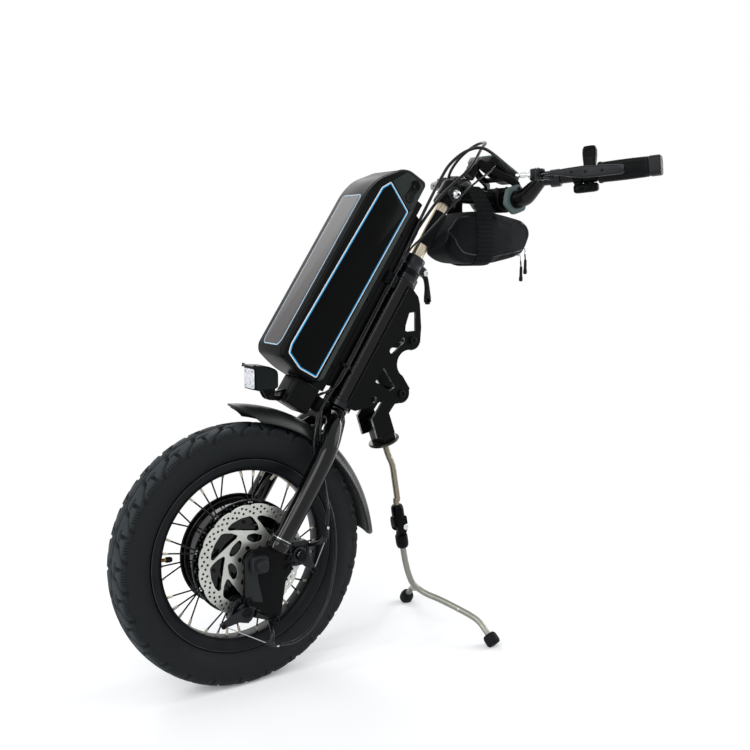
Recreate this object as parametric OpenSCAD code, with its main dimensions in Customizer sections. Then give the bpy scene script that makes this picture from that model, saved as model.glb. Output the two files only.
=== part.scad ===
// Electric front-wheel power attachment for a manual wheelchair, standing on its own stand.
// Millimetres. +Z is up, the ground is z = 0 and the origin is the point under the axle.
// -X is the way of travel and -Y is the rider's left.

/* [Wheel] */
// Outer radius of the tyre
tyre_r = 215; // [200:1:230]
// Width of the tyre's section
tyre_w = 62; // [54:1:68]
// Thickness of the tyre's wall
tyre_wall = 5; // [4:0.5:7]
// Outer radius of the rim's flanges
rim_r = 158; // [154:1:161]
// Width across the rim's flanges
rim_w = 40; // [36:1:44]
// Radial height of the rim
rim_h = 20; // [16:1:22]
// Number of spokes, both sides together
spoke_count = 36; // [24:4:40]
// Radius of a spoke
spoke_r = 1.1; // [0.9:0.1:1.4]

/* [Hub motor] */
// Radius of the hub's spoke flanges
hub_flange_r = 94; // [88:1:102]
// Width of the hub's shell over its covers
hub_w = 68; // [60:1:76]
// Thickness of the hub's wall
hub_wall = 5; // [4:0.5:7]
// Radius of the fixed axle
axle_r = 6; // [5:0.5:7]
// Radius of the brake rotor
rotor_r = 92; // [84:1:94]
// Thickness of the brake rotor
rotor_t = 1.8; // [1.5:0.1:2.2]

/* [Steering] */
// Lean of the steering axis back from upright, in degrees
tilt = 33.2; // [30:0.2:36]
// Distance of the axle ahead of the steering axis
rake = 33; // [28:1:38]
// Length of the head tube
head_len = 244; // [230:1:260]
// Outer radius of the head tube
head_r = 24; // [23:0.5:26]
// Outer radius of the steerer
steerer_r = 15; // [14.5:0.1:15.5]
// Radius of a fork leg
leg_r = 16.5; // [14:0.5:18]
// Distance from the hub's cover to the centre of a fork leg
fork_clear = 34; // [33:0.5:40]
// Radial gap from the tyre to the mudguard
guard_gap = 22; // [14:1:24]
// Thickness of the mudguard
guard_t = 2.5; // [2:0.5:4]

/* [Docking plates] */
// Gap between the two plates
plate_gap = 42; // [40:1:46]
// Thickness of a plate
plate_t = 5; // [4:0.5:8]
// Radius of the notch that seats on the chair's docking bar
notch_r = 24; // [20:0.5:25]

/* [Stand] */
// Distance of the feet behind the axle
stand_reach = 430; // [415:1:450]
// Distance of a foot from the middle
foot_spread = 133; // [115:1:150]
// Radius of the stand's tubes
stand_tube_r = 5; // [4:0.5:6]
// Radius of a rubber foot
foot_r = 13; // [11:0.5:15]
// Radius of the disc under the stand's socket
stand_disc_r = 27.5; // [24:0.5:32]

/* [Battery] */
// Length of the battery case along the steering axis
battery_len = 397; // [370:1:410]
// Depth of the battery case, front to back
battery_depth = 92; // [84:1:100]
// Width of the battery case
battery_w = 94; // [86:1:102]
// Thickness of the battery case's wall
battery_wall = 3; // [2:0.5:4]

/* [Cockpit] */
// Radius of the handlebar column
column_r = 12.5; // [12:0.1:13]
// Height of the column's top above the head tube
column_rise = 203; // [190:1:220]
// Radius of the handlebar where the stem holds it
bar_r = 15.9; // [14:0.1:16]
// Radius of the handlebar under the grips
bar_end_r = 11.1; // [10.5:0.1:11.5]
// Radius of a grip
grip_r = 18; // [15:0.5:19]
// Length of a grip
grip_len = 96; // [88:1:102]
// Half of the width of the bag
bag_half = 42; // [36:1:46]
// Length of the display
display_len = 76; // [70:1:84]
// Width of the display
display_w = 58; // [50:1:66]

/* [Hidden] */
$fn = 48;
// Overrun of every cut
over = 2;
// Radial clearance of shafts, sockets and seats
fit = 0.05;
// Clearance between pieces that move past each other
gap = 0.3;

// Wheel
tyre_c = tyre_r - tyre_w / 2;
tread_r = 90;
tread_half = 26;
rim_wall = 2.5;
rim_floor = 8;
rim_half = rim_w / 2;
bead_w = 7;
valve_r = 3;
valve_len = 21;
valve_cap_r = 4.2;
valve_angle = 175;
nipple_r = 2.2;
nipple_len = 12;
spoke_offset = 5;
spoke_spread = 1.5;

// Hub and rotor, places are along the axle from the wheel's middle plane
hub_half = hub_w / 2;
flange_t = 3.5;
cover_t = 8;
shell_half = hub_half - cover_t;
flange_rise = 9;
hub_shell_r = hub_flange_r - flange_rise;
cover_step = 5;
cover_r = hub_shell_r - cover_step;
bearing_r = 14;
rotor_standoff = 8;
rotor_y = hub_half + rotor_standoff;
rotor_boss_r = 24;
rotor_hole_r = 17;
rotor_band = 22;
rotor_arms = 6;
rotor_arm_shares = [[0, -0.3], [0.5, -0.05], [1, 0.42], [1, 0.66], [0.5, 0.24], [0, 0.1]];
stator_gap = 6;
stator_half = shell_half - stator_gap;
stator_r = hub_shell_r - hub_wall - stator_gap;

// Fork, places are along and across the steering axis
fork_half = hub_half + fork_clear;
leg_v = -16;
leg_u0 = 32;
leg_bend_shares = [
    [1, 1, 0.56], [1, 0.97, 0.72], [0.95, 0.88, 0.835], [0.8, 0.67, 0.94], [0.5, 0.435, 1.007],
    [0.3, 0.18, 1.03]
];
fork_sides = 24;
crown_clear = 22.5;
crown_r = 20;
crown_h = 26;
guard_r = tyre_r + guard_gap + guard_t;
guard_side = 11;
guard_sec_r = tyre_w / 2 + guard_side;
guard_lip = 4;
guard_half = guard_sec_r - guard_lip;
guard_arc_r = 280;
guard_lean = 5.8;
guard_offset = guard_arc_r - guard_r;
guard_a0 = 6.5;
guard_span = 78;
guard_stay_r = 5;
guard_stay_v = -12;
crown_u0 = guard_r + crown_clear;
crown_u1 = crown_u0 + crown_h;
bracket_clear = 16;
bracket_y = rotor_y + bracket_clear;
bracket_t = 6;
bracket_len = 100;
dropout_r = 20;
axle_past = 8;
axle_end = fork_half + axle_past;
cap_r = 15;
cap_h = 13;
cap_boss_r = 10;
cap_boss_h = 9;

// Head tube and headset
run_gap = 1;
cup_h = 9;
cup_depth = 14;
head_wall = 4;
head_u0 = crown_u1 + run_gap + cup_h;
head_u1 = head_u0 + head_len;
head_bore_r = head_r - head_wall;

// Column, its clamp and the clamp's lever
ring_u0 = head_u1 + cup_h + run_gap;
ring_h = 10;
ring_r = 21;
clamp_u0 = ring_u0 + ring_h;
clamp_h = 28;
clamp_r = 20;
clamp_slit = 3;
steerer_top = clamp_u0 + clamp_h / 2;
column_top = head_u1 + column_rise;
column_insert = 72;
column_slide = 0.1;
column_wall = 2.5;
lug_w = 18;
lug_gap = 6.2;
lug_h = 16;
lever_pin_v = 28;
lever_pin_r = 3;
lever_eye_r = 7;
lever_w = 5.6;
lever_drop = 52;
lever_tip_r = 5;

// Docking plates, shares are of the plate's depth and of the head tube's length
plate_depth = 115;
lobe_r = 17;
dock_bolt_r = 4;
dock_head_r = 6.5;
dock_head_h = 4;
dock_shoulder_r = 8;
plate_shares = [
    [0, 0.96], [0.087, 0.96], [0.235, 0.94], [0.32, 0.905], [0.54, 0.77], [0.652, 0.672],
    [0.575, 0.582], [0.575, 0.41], [0.87, 0.35], [0.887, 0.238], [0.757, 0.193], [0.739, 0.115],
    [1, 0.02], [0.765, -0.086], [0.522, 0.008], [0.539, 0.148], [0.504, 0.148], [0.435, 0.098],
    [0.27, 0.029], [0.183, -0.008], [0.052, -0.02], [0, -0.02]
];
upper_lobe_share = [0.504, 0.652];
lower_lobe_share = [0.774, 0.283];
notch_share = [0.635, 0.494];
window_shares = [[0.226, 0.803], [0.322, 0.836], [0.478, 0.725], [0.348, 0.68], [0.287, 0.68]];
triangle_shares = [[0.278, 0.365], [0.62, 0.295], [0.57, 0.25], [0.261, 0.246]];
slot_shares = [[0.35, 0.607], [0.27, 0.5]];
slot_r = 5;
round_hole_share = [0.377, 0.134];
round_hole_r = 6;

// Stand, shares run from its top to the feet
stand_lean = 19.3;
knuckle_lean = 10;
stand_v_share = 1.05;
stand_drop = 14;
socket_half = 13;
socket_h = 46;
disc_t = 4;
post_in_socket = 30;
post_shares = [[0.062, 0.929], [0.123, 0.878], [0.158, 0.804], [0.2, 0.7]];
knuckle_share = [0.274, 0.565];
knuckle_offset = -5;
ferrule_r = 11.5;
ferrule_u0 = 17;
ferrule_len = 30;
ferrule_seat = 14;
ear_half = 10.5;
ear_gap = 5.3;
ear_depth = 9;
tongue_half = 5;
stand_pin_r = 3.5;
stand_pin_head_r = 5.5;
stand_pin_head_h = 3.5;
leg_shares = [
    [0.075, 0, 0.663], [0.15, 0, 0.538], [0.255, 0, 0.4375], [0.396, 0.12, 0.365],
    [0.575, 0.338, 0.317], [0.887, 0.714, 0.207], [0.962, 0.887, 0.12]
];
leg_fork_at = 2;
foot_rise = 9;
foot_h = 22;
stand_sides = 14;

// Brake calipers, in a frame whose x runs out from the axle through the rotor's track
caliper_r = 80;
service_angle = -107;
parking_angle = 0;
caliper_in = 20;
caliper_out = 18;
caliper_half = 20;
caliper_clear = 2;
caliper_inner_y = hub_half + caliper_clear;
caliper_slot = 5.2;
caliper_slot_out = rotor_r + 2 * run_gap - caliper_r;
pad_t = 1.2;
pad_half = 14;
pad_in = 16;
pad_out = 8;
pivot_boss_r = 9;
pivot_boss_h = 9;
pivot_boss_y = bracket_y + pivot_boss_h;
pivot_r = 4;
pivot_x = -3;
pivot_head_r = 6.5;
pivot_head_h = 3;
arm_t = 5;
arm_r = 12;
arm_end_r = 5;
arm_len = 42;
service_arm_share = [-1, -0.31];
parking_arm_share = [0.5, -0.667];
ear_t = 8;
ear_r = 7;
bolt_r = 3;
bolt_head_r = 5;
bolt_head_h = 4;
bolt_reach = 57.5;
service_bolt_shares = [[-0.348, 0.017], [0.096, 1]];
parking_bolt_shares = [[-0.435, -0.296], [-0.435, -0.035]];
barrel_r = 4;
barrel_arm_r = 3.5;
barrel_out = 18;
barrel_y = bracket_y + barrel_out;
barrel_reach = 135;
barrel_root_share = [-0.7, -0.9];
service_barrel_shares = [[0.163, -1], [0.044, -0.948]];
parking_barrel_shares = [[0.889, 0.267], [0.852, 0.126]];
bracket_shares = [
    [-0.22, 0.12], [-0.08, 0.22], [0.22, 0.24], [0.36, 0.44], [0.52, 0.36], [0.5, 0.04],
    [0.62, 0.02], [0.62, -0.24], [0.5, -0.36], [0.4, -0.96], [0.24, -0.98], [-0.2, -0.57],
    [-0.24, -0.5]
];

// Battery, its rail and the box under it
rail_back = 26;
battery_back = 51;
rail_front = head_r + battery_back - gap;
rail_half = 20;
rail_len = 372;
rail_arm_half = 8;
rail_strap_t = 7;
battery_below = 3;
battery_u0 = head_u0 - battery_below;
battery_v = -(head_r + battery_back);
battery_front_round = 14;
battery_rear_round = 6;
battery_shares = [
    [0, 0], [0.54, 0], [0.92, 0.02], [1, 0.05], [1, 0.76], [0.82, 0.87], [0.53, 0.995],
    [0.06, 1], [0, 0.985]
];
panel_t = 1.2;
panel_shares = [
    [0.13, 0.02], [0.5, 0.012], [0.8, 0.045], [0.82, 0.06], [0.82, 0.82], [0.69, 0.89],
    [0.1, 0.835]
];
front_panel_half = 29;
front_panel_shares = [0.08, 0.73];
cell_r = 10.5;
cell_len = 70;
cell_clear = 0.2;
cell_start = 24;
cell_stack_share = 0.7;
cell_pitch = 2 * cell_r + cell_clear;
cell_rows = floor(cell_stack_share * battery_len / cell_pitch);
cell_columns = floor((battery_depth - 2 * battery_wall - 2 * gap) / cell_pitch);
button_share = [0.22, 0.952];
button_r = 7;
button_proud = 2.5;
button_len = 6;
port_share = [0.22, 0.893];
port_r = 9;
port_t = 2;
box_front = 105;
box_half = 24;
box_drop = 49;

// Headlight, places are from its pivot
light_v = -125;
light_drop = 55;
light_arm_half = 4;
light_ear_t = 4;
light_pin_r = 2.5;
light_lug_r = 7;
light_half = 21;
light_back = 9;
light_front = 32;
light_bottom = 12;
light_top = 51;
light_visor = 7;
light_visor_t = 3;
lens_t = 2.8;
lens_inset = 2.5;

// Handlebar and what it carries, places are from the handlebar's middle, x back and z up
bar_v = 103;
bar_rise = 38.5;
stem_hub_r = 20;
stem_hub_h = 44;
stem_cap = 3;
stem_arm_r = 14;
stem_drop = 20;
stem_clamp_r = 23;
stem_clamp_half = 22;
stem_bolt_r = 9;
stem_bolt_len = 30;
bar_mid_half = 70;
bar_bend_x = 4;
bar_bend_z = 5;
bar_taper = 38;
bar_bend_s = 88;
bar_straight_s = 78;
bar_grip_y = 181;
bar_grip_x = 54;
bar_grip_z = 40;
bar_tip_y = 271.5;
bar_tip_x = 112;
bar_tip_z = 50;
bar_sides = 20;
grip_cap_h = 10;
grip_cap_rim = 1;
grip_cap_r = grip_r + grip_cap_rim;
perch_s = -63;
perch_len = 18;
perch_r = 15.5;
perch_arm_r = 7;
perch_reach = 26;
perch_side = 130;
perch_rise = 38;
perch_pivot = [-perch_reach, perch_side, perch_rise];
perch_hub_r = 13;
perch_hub_half = 10;
perch_slot_half = 4;
lever_hub_r = 8;
lever_half = 3.7;
lever_pivot_r = 3;
lever_len = 143;
lever_shares = [[0.098, 0.21, 0.014], [0.28, 0.524, 0.014], [0.476, 0.902, 0.028]];
lever_points = [for (s = lever_shares) perch_pivot + lever_len * s];
lever_blade_r = 4.5;
lever_root_h = 7.4;
lever_blade_h = 26;
lever_end_h = 19;
adjuster_r = 4.5;
adjuster_len = 36;
adjuster_shares = [[-0.11, -0.28, 0], [-0.556, -0.917, 0]];
adjuster_ends = [for (s = adjuster_shares) perch_pivot + adjuster_len * s];
throttle_s = -32;
throttle_len = 16;
throttle_r = 15;
pod_r = 8;
pod_drop = throttle_r + pod_r + gap;
pod_len = 42;
pod_neck = 14;
paddle_ring_len = 25;
paddle_reach = 50;
paddle_t = 15;
paddle_lean = 16;
display_x = -3;
display_z = 56;
display_t = 18;
display_tilt = 29;
display_corner = 8;
mount_y = 46;
mount_t = 9;
mount_ring_r = 26;
mount_beam_r = 8;
mount_rise = 67;
mount_block_r = 12;
mount_block_half = 10;
mount_arm_y = 40;
mount_rest_r = 5;
mount_rest_half = 36;
mount_front_share = [-0.84, 0.985];
mount_front = mount_rise * mount_front_share;
mount_back_share = [0.09, 0.42];
mount_back = mount_rise * mount_back_share;
mount_foot = [0, 0];
mount_rest_back = 10;
mount_rest_down = display_t / 2 + mount_rest_r + gap;
mount_rest = [
    display_x + mount_rest_back * cos(display_tilt) - mount_rest_down * sin(display_tilt),
    display_z - mount_rest_back * sin(display_tilt) - mount_rest_down * cos(display_tilt)
];
horn_r = 11;
horn_neck_r = 6;
horn_shares = [[-1.104, 0.597], [-0.86, 0.95]];
horn_ends = [for (s = horn_shares) mount_rise * s];
bag_shares = [
    [-0.75, 0.17], [-0.6, 0.02], [-0.41, 0], [0.17, 0.12], [0.31, 0.48], [0.22, 0.68],
    [-0.285, 0.79], [-0.54, 0.8]
];
bag_len = 200;
bag_h = 117;
bag_round = 16;
strap_w = 38;
strap_x = -68;
strap_t = 2;
strap_top = 20;
strap_top_half = 19;
strap_shoulder = -21;

// Cables. Each route is a list of points in the model's frame, chosen by hand, with the bar's centre
// at routes_bar. They follow the bar when a size moves it.
routes_bar = [542.8156, 0, 796.136];
cable_r = 2.5;
wire_r = 1.8;
cable_sides = 8;
cable_steps = 2;
service_route = [
    [297, -20, 674], [233, -22, 576], [176, -24, 490], [140, -28, 445], [121, -40, 408],
    [118, -43, 371], [130, -46, 318], [145, -54, 262], [145, -60, 200], [128, -66, 135],
    [95, -72, 94], [58, -76, 77], [20, -76, 81]
];
parking_route = [
    [297, -13, 674], [233, -14, 576], [176, -16, 490], [146, -20, 448], [130, -39.5, 404],
    [129, -43.5, 362], [129, -56, 318], [125, -71, 284], [119, -76, 248]
];
display_route = [[297, -27, 674], [233, -29, 576], [176, -31, 490], [152, -27, 472], [136, -20, 465]];
left_route = [
    [298, -20, 676], [318, -22, 712], [361, -27, 790], [383, -30, 828], [402, -32, 854],
    [432, -36, 876], [465, -42, 884], [486, -62, 866], [497, -97, 834]
];
right_route = [
    [298, -13, 676], [332, -13, 722], [358, -16, 758], [388, -22, 796], [414, -28, 821],
    [438, -33, 842], [459, -30, 862], [484, -18, 886], [512, 4, 899], [524, 28, 903],
    [522, 50, 898], [508, 70, 880], [499, 88, 856], [497, 97, 834]
];
display_lead = [
    [298, -27, 676], [322, -28, 708], [352, -30, 732], [386, -34, 764], [424, -37, 800],
    [462, -37, 828], [496, -30, 846], [516, -24, 864]
];

// A point given across, beside and along the steering axis, in the model's frame
function on_axis(v, y, u) = [
    (v + rake) * cos(tilt) + u * sin(tilt),
    y,
    tyre_r - (v + rake) * sin(tilt) + u * cos(tilt)
];
function unit(a) = a / norm(a);
function tangent(p, i) = unit(p[min(i + 1, len(p) - 1)] - p[max(i - 1, 0)]);
// A smooth curve through the points, with that many steps between each two
function blend_point(a, b, c, d, s) =
    (2 * b + (c - a) * s + (2 * a - 5 * b + 4 * c - d) * s * s
     + (3 * b - a - 3 * c + d) * s * s * s) / 2;
function curve(p, steps) = [
    for (i = [0 : len(p) - 2])
        for (k = [0 : steps - 1])
            blend_point(p[max(i - 1, 0)], p[i], p[i + 1], p[min(i + 2, len(p) - 1)], k / steps),
    p[len(p) - 1]
];
function ring_points(c, t, side, r, n) =
    let (a = unit(cross(side, t)), b = cross(t, a))
    [for (k = [0 : n - 1]) c + r * (cos(360 * k / n) * a + sin(360 * k / n) * b)];
// A point on a docking plate from its shares
function plate_point(s) = [s[0] * plate_depth, head_u0 + s[1] * head_len];
// A point on the battery's side from its shares, drawn in by the inset
function battery_point(s, inset) = [
    battery_v - inset - s[0] * (battery_depth - 2 * inset),
    battery_u0 + inset + s[1] * (battery_len - 2 * inset)
];
function mirror_y(p) = [p[0], -p[1], p[2]];

stand_top = on_axis(stand_v_share * plate_depth, 0, head_u0 - stand_drop);
knuckle = [
    stand_top[0] + knuckle_share[0] * (stand_reach - stand_top[0]), 0,
    knuckle_share[1] * stand_top[2]
];
light_pivot = on_axis(light_v, 0, head_u0 - light_drop);
bar_centre = on_axis(bar_v, 0, column_top + bar_rise);
bar_dir = unit([bar_tip_x - bar_grip_x, bar_tip_y - bar_grip_y, bar_tip_z - bar_grip_z]);
bar_end_s = norm([bar_tip_x - bar_grip_x, bar_tip_y - bar_grip_y, bar_tip_z - bar_grip_z]);
grip_s0 = bar_end_s - grip_len;

// Frames
module steer() { translate([0, 0, tyre_r]) rotate([0, tilt, 0]) translate([rake, 0, 0]) children(); }
module wheel() { translate([0, 0, tyre_r]) rotate([90, 0, 0]) children(); }
module cockpit() { translate(bar_centre) children(); }
// A cable route that follows the bar's centre: not at the foot of the head tube, wholly above its top
function along_axis(p) = p[0] * sin(tilt) + (p[2] - tyre_r) * cos(tilt);
function follow(route) = [
    for (p = route)
        p + (bar_centre - routes_bar) * min(1, max(0, (along_axis(p) - head_u0) / head_len))
];
module on_stand() { translate(stand_top) rotate([0, -stand_lean, 0]) children(); }
module on_knuckle() { translate(knuckle) rotate([0, -knuckle_lean, 0]) children(); }
module at_caliper(angle) {
    translate([0, 0, tyre_r]) rotate([0, -angle, 0]) translate([caliper_r, 0, 0]) children();
}
// Along the handlebar's end, with z outwards along the bar; side is 1 right or -1 left
module on_bar(side, s) {
    mirror([0, side < 0 ? 1 : 0, 0])
        translate([bar_grip_x, bar_grip_y, bar_grip_z] + s * bar_dir)
            rotate([0, acos(bar_dir[2]), atan2(bar_dir[1], bar_dir[0])]) children();
}

// Shapes used by several pieces
module rod(a, b, r) {
    d = b - a;
    translate(a) rotate([0, acos(d[2] / norm(d)), atan2(d[1], d[0])]) cylinder(r = r, h = norm(d));
}
module tube(outer, inner, h) {
    difference() {
        cylinder(r = outer, h = h);
        translate([0, 0, -over]) cylinder(r = inner, h = h + 2 * over);
    }
}
// A cylinder along Y, from one place to another
module along_y(r, y0, y1) { translate([0, y1, 0]) rotate([90, 0, 0]) cylinder(r = r, h = y1 - y0); }
// A flat outline in x and z, made thick along Y
module side_plate(y0, y1) { translate([0, y1, 0]) rotate([90, 0, 0]) linear_extrude(y1 - y0) children(); }
module sweep(p, r, side, n) {
    m = len(p);
    radii = is_list(r) ? r : [for (i = [0 : m - 1]) r];
    points = [for (i = [0 : m - 1]) each ring_points(p[i], tangent(p, i), side, radii[i], n)];
    sides = [
        for (i = [0 : m - 2])
            for (k = [0 : n - 1])
                let (j = (k + 1) % n)
                    each [
                        [i * n + k, (i + 1) * n + k, (i + 1) * n + j],
                        [i * n + k, (i + 1) * n + j, i * n + j]
                    ]
    ];
    start = [for (k = [1 : n - 2]) [0, k, k + 1]];
    last = (m - 1) * n;
    end = [for (k = [1 : n - 2]) [last, last + k + 1, last + k]];
    polyhedron(points, concat(start, sides, end));
}

// Head tube and docking plates
module head_tube() {
    color("#17181a") steer() translate([0, 0, head_u0]) tube(head_r, head_bore_r, head_len);
}
module headset_cup() {
    difference() {
        union() {
            cylinder(r = head_r, h = cup_h);
            translate([0, 0, cup_h]) cylinder(r = head_bore_r - fit, h = cup_depth);
        }
        translate([0, 0, -over]) cylinder(r = steerer_r + fit, h = cup_h + cup_depth + 2 * over);
    }
}
module headset_bearings() {
    color("#2b2c2e") steer() {
        translate([0, 0, head_u0 - cup_h]) headset_cup();
        translate([0, 0, head_u1 + cup_h]) rotate([180, 0, 0]) headset_cup();
    }
}
module plate_outline() {
    difference() {
        union() {
            polygon([for (s = plate_shares) plate_point(s)]);
            translate(plate_point(upper_lobe_share)) circle(lobe_r);
            translate(plate_point(lower_lobe_share)) circle(lobe_r);
        }
        translate(plate_point(notch_share)) circle(notch_r);
        for (s = [upper_lobe_share, lower_lobe_share])
            translate(plate_point(s)) circle(dock_bolt_r + fit);
        polygon([for (s = window_shares) plate_point(s)]);
        polygon([for (s = triangle_shares) plate_point(s)]);
        for (s = slot_shares) translate(plate_point(s)) circle(slot_r);
        slot_a = plate_point(slot_shares[0]);
        slot_b = plate_point(slot_shares[1]);
        across = slot_r * unit([slot_a[1] - slot_b[1], slot_b[0] - slot_a[0]]);
        polygon([slot_a + across, slot_b + across, slot_b - across, slot_a - across]);
        translate(plate_point(round_hole_share)) circle(round_hole_r);
    }
}
module dock_plate(y0) {
    color("#141516") steer() difference() {
        side_plate(y0, y0 + plate_t) plate_outline();
        translate([0, 0, head_u0 - head_len]) cylinder(r = head_r + fit, h = 3 * head_len);
    }
}
module dock_plate_left() { dock_plate(-plate_gap / 2 - plate_t); }
module dock_plate_right() { dock_plate(plate_gap / 2); }
module dock_bolts() {
    face = plate_gap / 2 + plate_t;
    color("#3a3c3f") steer() for (s = [upper_lobe_share, lower_lobe_share]) {
        p = plate_point(s);
        translate([p[0], 0, p[1]]) {
            along_y(dock_shoulder_r, -plate_gap / 2, plate_gap / 2);
            along_y(dock_bolt_r, -face - dock_head_h, face + dock_head_h);
            along_y(dock_head_r, -face - dock_head_h, -face);
            along_y(dock_head_r, face, face + dock_head_h);
        }
    }
}

// Stand
module stand_socket() {
    block_half = plate_gap / 2 - fit;
    color("#141516") on_stand() difference() {
        translate([-socket_half, -block_half, disc_t]) cube([2 * socket_half, 2 * block_half, socket_h]);
        cylinder(r = stand_tube_r + fit, h = disc_t + post_in_socket);
    }
}
post_points = concat(
    [stand_top + post_in_socket * [-sin(stand_lean), 0, cos(stand_lean)], stand_top],
    [for (s = post_shares) [stand_top[0] + s[0] * (stand_reach - stand_top[0]), 0, s[1] * stand_top[2]]],
    [knuckle + knuckle_turn([knuckle_offset, 0, ferrule_u0 + ferrule_len + stand_tube_r]),
     knuckle + knuckle_turn([knuckle_offset, 0, ferrule_u0 + ferrule_len - ferrule_seat])]
);
// Turns a point from the knuckle's frame to the model's
function knuckle_turn(p) = [
    p[0] * cos(knuckle_lean) - p[2] * sin(knuckle_lean),
    p[1],
    p[0] * sin(knuckle_lean) + p[2] * cos(knuckle_lean)
];
module stand_post() {
    color("#8d8577") {
        sweep(post_points, stand_tube_r, [0, 1, 0], stand_sides);
        on_stand() cylinder(r = stand_disc_r, h = disc_t - fit);
    }
}
module stand_knuckle() {
    ferrule_end = ferrule_u0 + ferrule_len;
    color("#1a1b1d") on_knuckle() {
        difference() {
            union() {
                translate([knuckle_offset, 0, ferrule_u0]) cylinder(r = ferrule_r, h = ferrule_len);
                translate([knuckle_offset - ferrule_r, -ear_half, -ear_depth])
                    cube([2 * ferrule_r, 2 * ear_half, ear_depth + ferrule_u0 + over]);
            }
            translate([knuckle_offset - 2 * ferrule_r, -ear_gap, -ear_depth - over])
                cube([4 * ferrule_r, 2 * ear_gap, ear_depth + ferrule_u0 + over]);
            translate([knuckle_offset, 0, ferrule_end - ferrule_seat - run_gap])
                cylinder(r = stand_tube_r + fit, h = ferrule_seat + over);
        }
        along_y(stand_pin_r, -ear_half, ear_half);
        along_y(stand_pin_head_r, -ear_half - stand_pin_head_h, -ear_half);
    }
}
module stand_ferrule() {
    color("#1a1b1d") on_knuckle() difference() {
        union() {
            translate([knuckle_offset, 0, -ferrule_u0 - ferrule_len])
                cylinder(r = ferrule_r, h = ferrule_len);
            translate([knuckle_offset - ear_depth, -tongue_half, -ferrule_u0 - over])
                cube([2 * ear_depth, 2 * tongue_half, ferrule_u0 + over]);
            along_y(ear_depth, -tongue_half, tongue_half);
        }
        along_y(stand_pin_r + fit, -ear_half, ear_half);
        translate([knuckle_offset, 0, -ferrule_u0 - ferrule_len - over])
            cylinder(r = stand_tube_r + fit, h = ferrule_seat + over);
    }
}
foot_end = [stand_reach, foot_spread, foot_rise];
leg_points = concat(
    [knuckle + knuckle_turn([knuckle_offset, 0, ferrule_seat - ferrule_u0 - ferrule_len]),
     knuckle + knuckle_turn([knuckle_offset, 0, -ferrule_u0 - ferrule_len])],
    [for (s = leg_shares)
        [knuckle[0] + s[0] * (stand_reach - knuckle[0]), s[1] * foot_spread, s[2] * knuckle[2]]],
    [foot_end]
);
strut_points = [for (i = [leg_fork_at + 2 : len(leg_points) - 1]) leg_points[i]];
module stand_leg() {
    color("#c3c6c6") {
        sweep([for (p = leg_points) mirror_y(p)], stand_tube_r, [1, 0, 0], stand_sides);
        sweep(strut_points, stand_tube_r - fit, [1, 0, 0], stand_sides);
    }
}
module stand_foot(end, before) {
    d = unit(end - before);
    difference() {
        rod(end - foot_h / 2 * d, end + foot_h / 2 * d, foot_r);
        rod(before, end + fit * d, stand_tube_r + fit);
        translate([end[0] - foot_h, end[1] - foot_h, -foot_h]) cube([2 * foot_h, 2 * foot_h, foot_h]);
    }
}
module stand_feet() {
    before = leg_points[len(leg_points) - 2];
    color("#131415") {
        stand_foot(foot_end, before);
        stand_foot(mirror_y(foot_end), mirror_y(before));
    }
}

// Fork and steerer
module fork_crown() {
    stay_v = guard_stay_v + rake + guard_offset * sin(guard_lean);
    stay_reach = sqrt(guard_arc_r * guard_arc_r - stay_v * stay_v) - guard_offset * cos(guard_lean);
    stay_u0 = stay_reach - guard_t / 2;
    color("#101113") steer() difference() {
        union() {
            translate([0, 0, crown_u0]) cylinder(r = crown_r, h = crown_h);
            translate([0, 0, crown_u0]) cylinder(r = steerer_r, h = steerer_top - crown_u0);
            translate([guard_stay_v, 0, stay_u0]) cylinder(r = guard_stay_r, h = crown_u0 - stay_u0 + over);
        }
        translate([0, 0, head_u0]) cylinder(r = column_r + column_slide, h = steerer_top);
    }
}
leg_path = concat(
    [[leg_v, fork_half, leg_u0]],
    curve([for (s = leg_bend_shares) [s[0] * leg_v, s[1] * fork_half, s[2] * crown_u0]], 3)
);
module fork_leg_left() {
    color("#0d0e10") steer() sweep([for (p = leg_path) mirror_y(p)], leg_r, [1, 0, 0], fork_sides);
}
module fork_leg_right() { color("#0d0e10") steer() sweep(leg_path, leg_r, [1, 0, 0], fork_sides); }
// Places of the bolts in the wheel's plane, from the axle
function caliper_place(angle, p) = [
    (caliper_r + p[0]) * cos(angle) - p[1] * sin(angle),
    (caliper_r + p[0]) * sin(angle) + p[1] * cos(angle)
];
caliper_bolt_places = concat(
    [for (s = service_bolt_shares) caliper_place(service_angle, bolt_reach * s)],
    [for (s = parking_bolt_shares) caliper_place(parking_angle, bolt_reach * s)]
);
module brake_bracket() {
    color("#17191a") wheel() translate([0, 0, bracket_y]) linear_extrude(bracket_t) difference() {
        union() {
            polygon(bracket_len * bracket_shares);
            for (p = [caliper_bolt_places[0], caliper_bolt_places[1]]) translate(p) circle(ear_r + run_gap);
        }
        circle(axle_r + fit);
        for (p = caliper_bolt_places) translate(p) circle(bolt_r + fit);
    }
}
module dropout_right() {
    leg_end = on_axis(leg_v, 0, leg_u0 + leg_r) - [0, 0, tyre_r];
    foot = [leg_end[0], leg_end[2]];
    across = leg_r * unit([-foot[1], foot[0]]);
    color("#17191a") wheel() translate([0, 0, -bracket_y - bracket_t]) linear_extrude(bracket_t)
        difference() {
        union() {
            circle(dropout_r);
            polygon([across, foot + across, foot - across, -across]);
        }
        circle(axle_r + fit);
    }
}
module axle() { color("#9a9c9e") translate([0, 0, tyre_r]) along_y(axle_r, -axle_end, axle_end); }
module axle_cap() {
    difference() {
        union() {
            cylinder(r = cap_r, h = cap_h);
            cylinder(r = cap_boss_r, h = cap_h + cap_boss_h);
        }
        translate([0, 0, -over])
            cylinder(r = axle_r + fit, h = axle_end - bracket_y - bracket_t + fit + over);
    }
}
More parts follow.
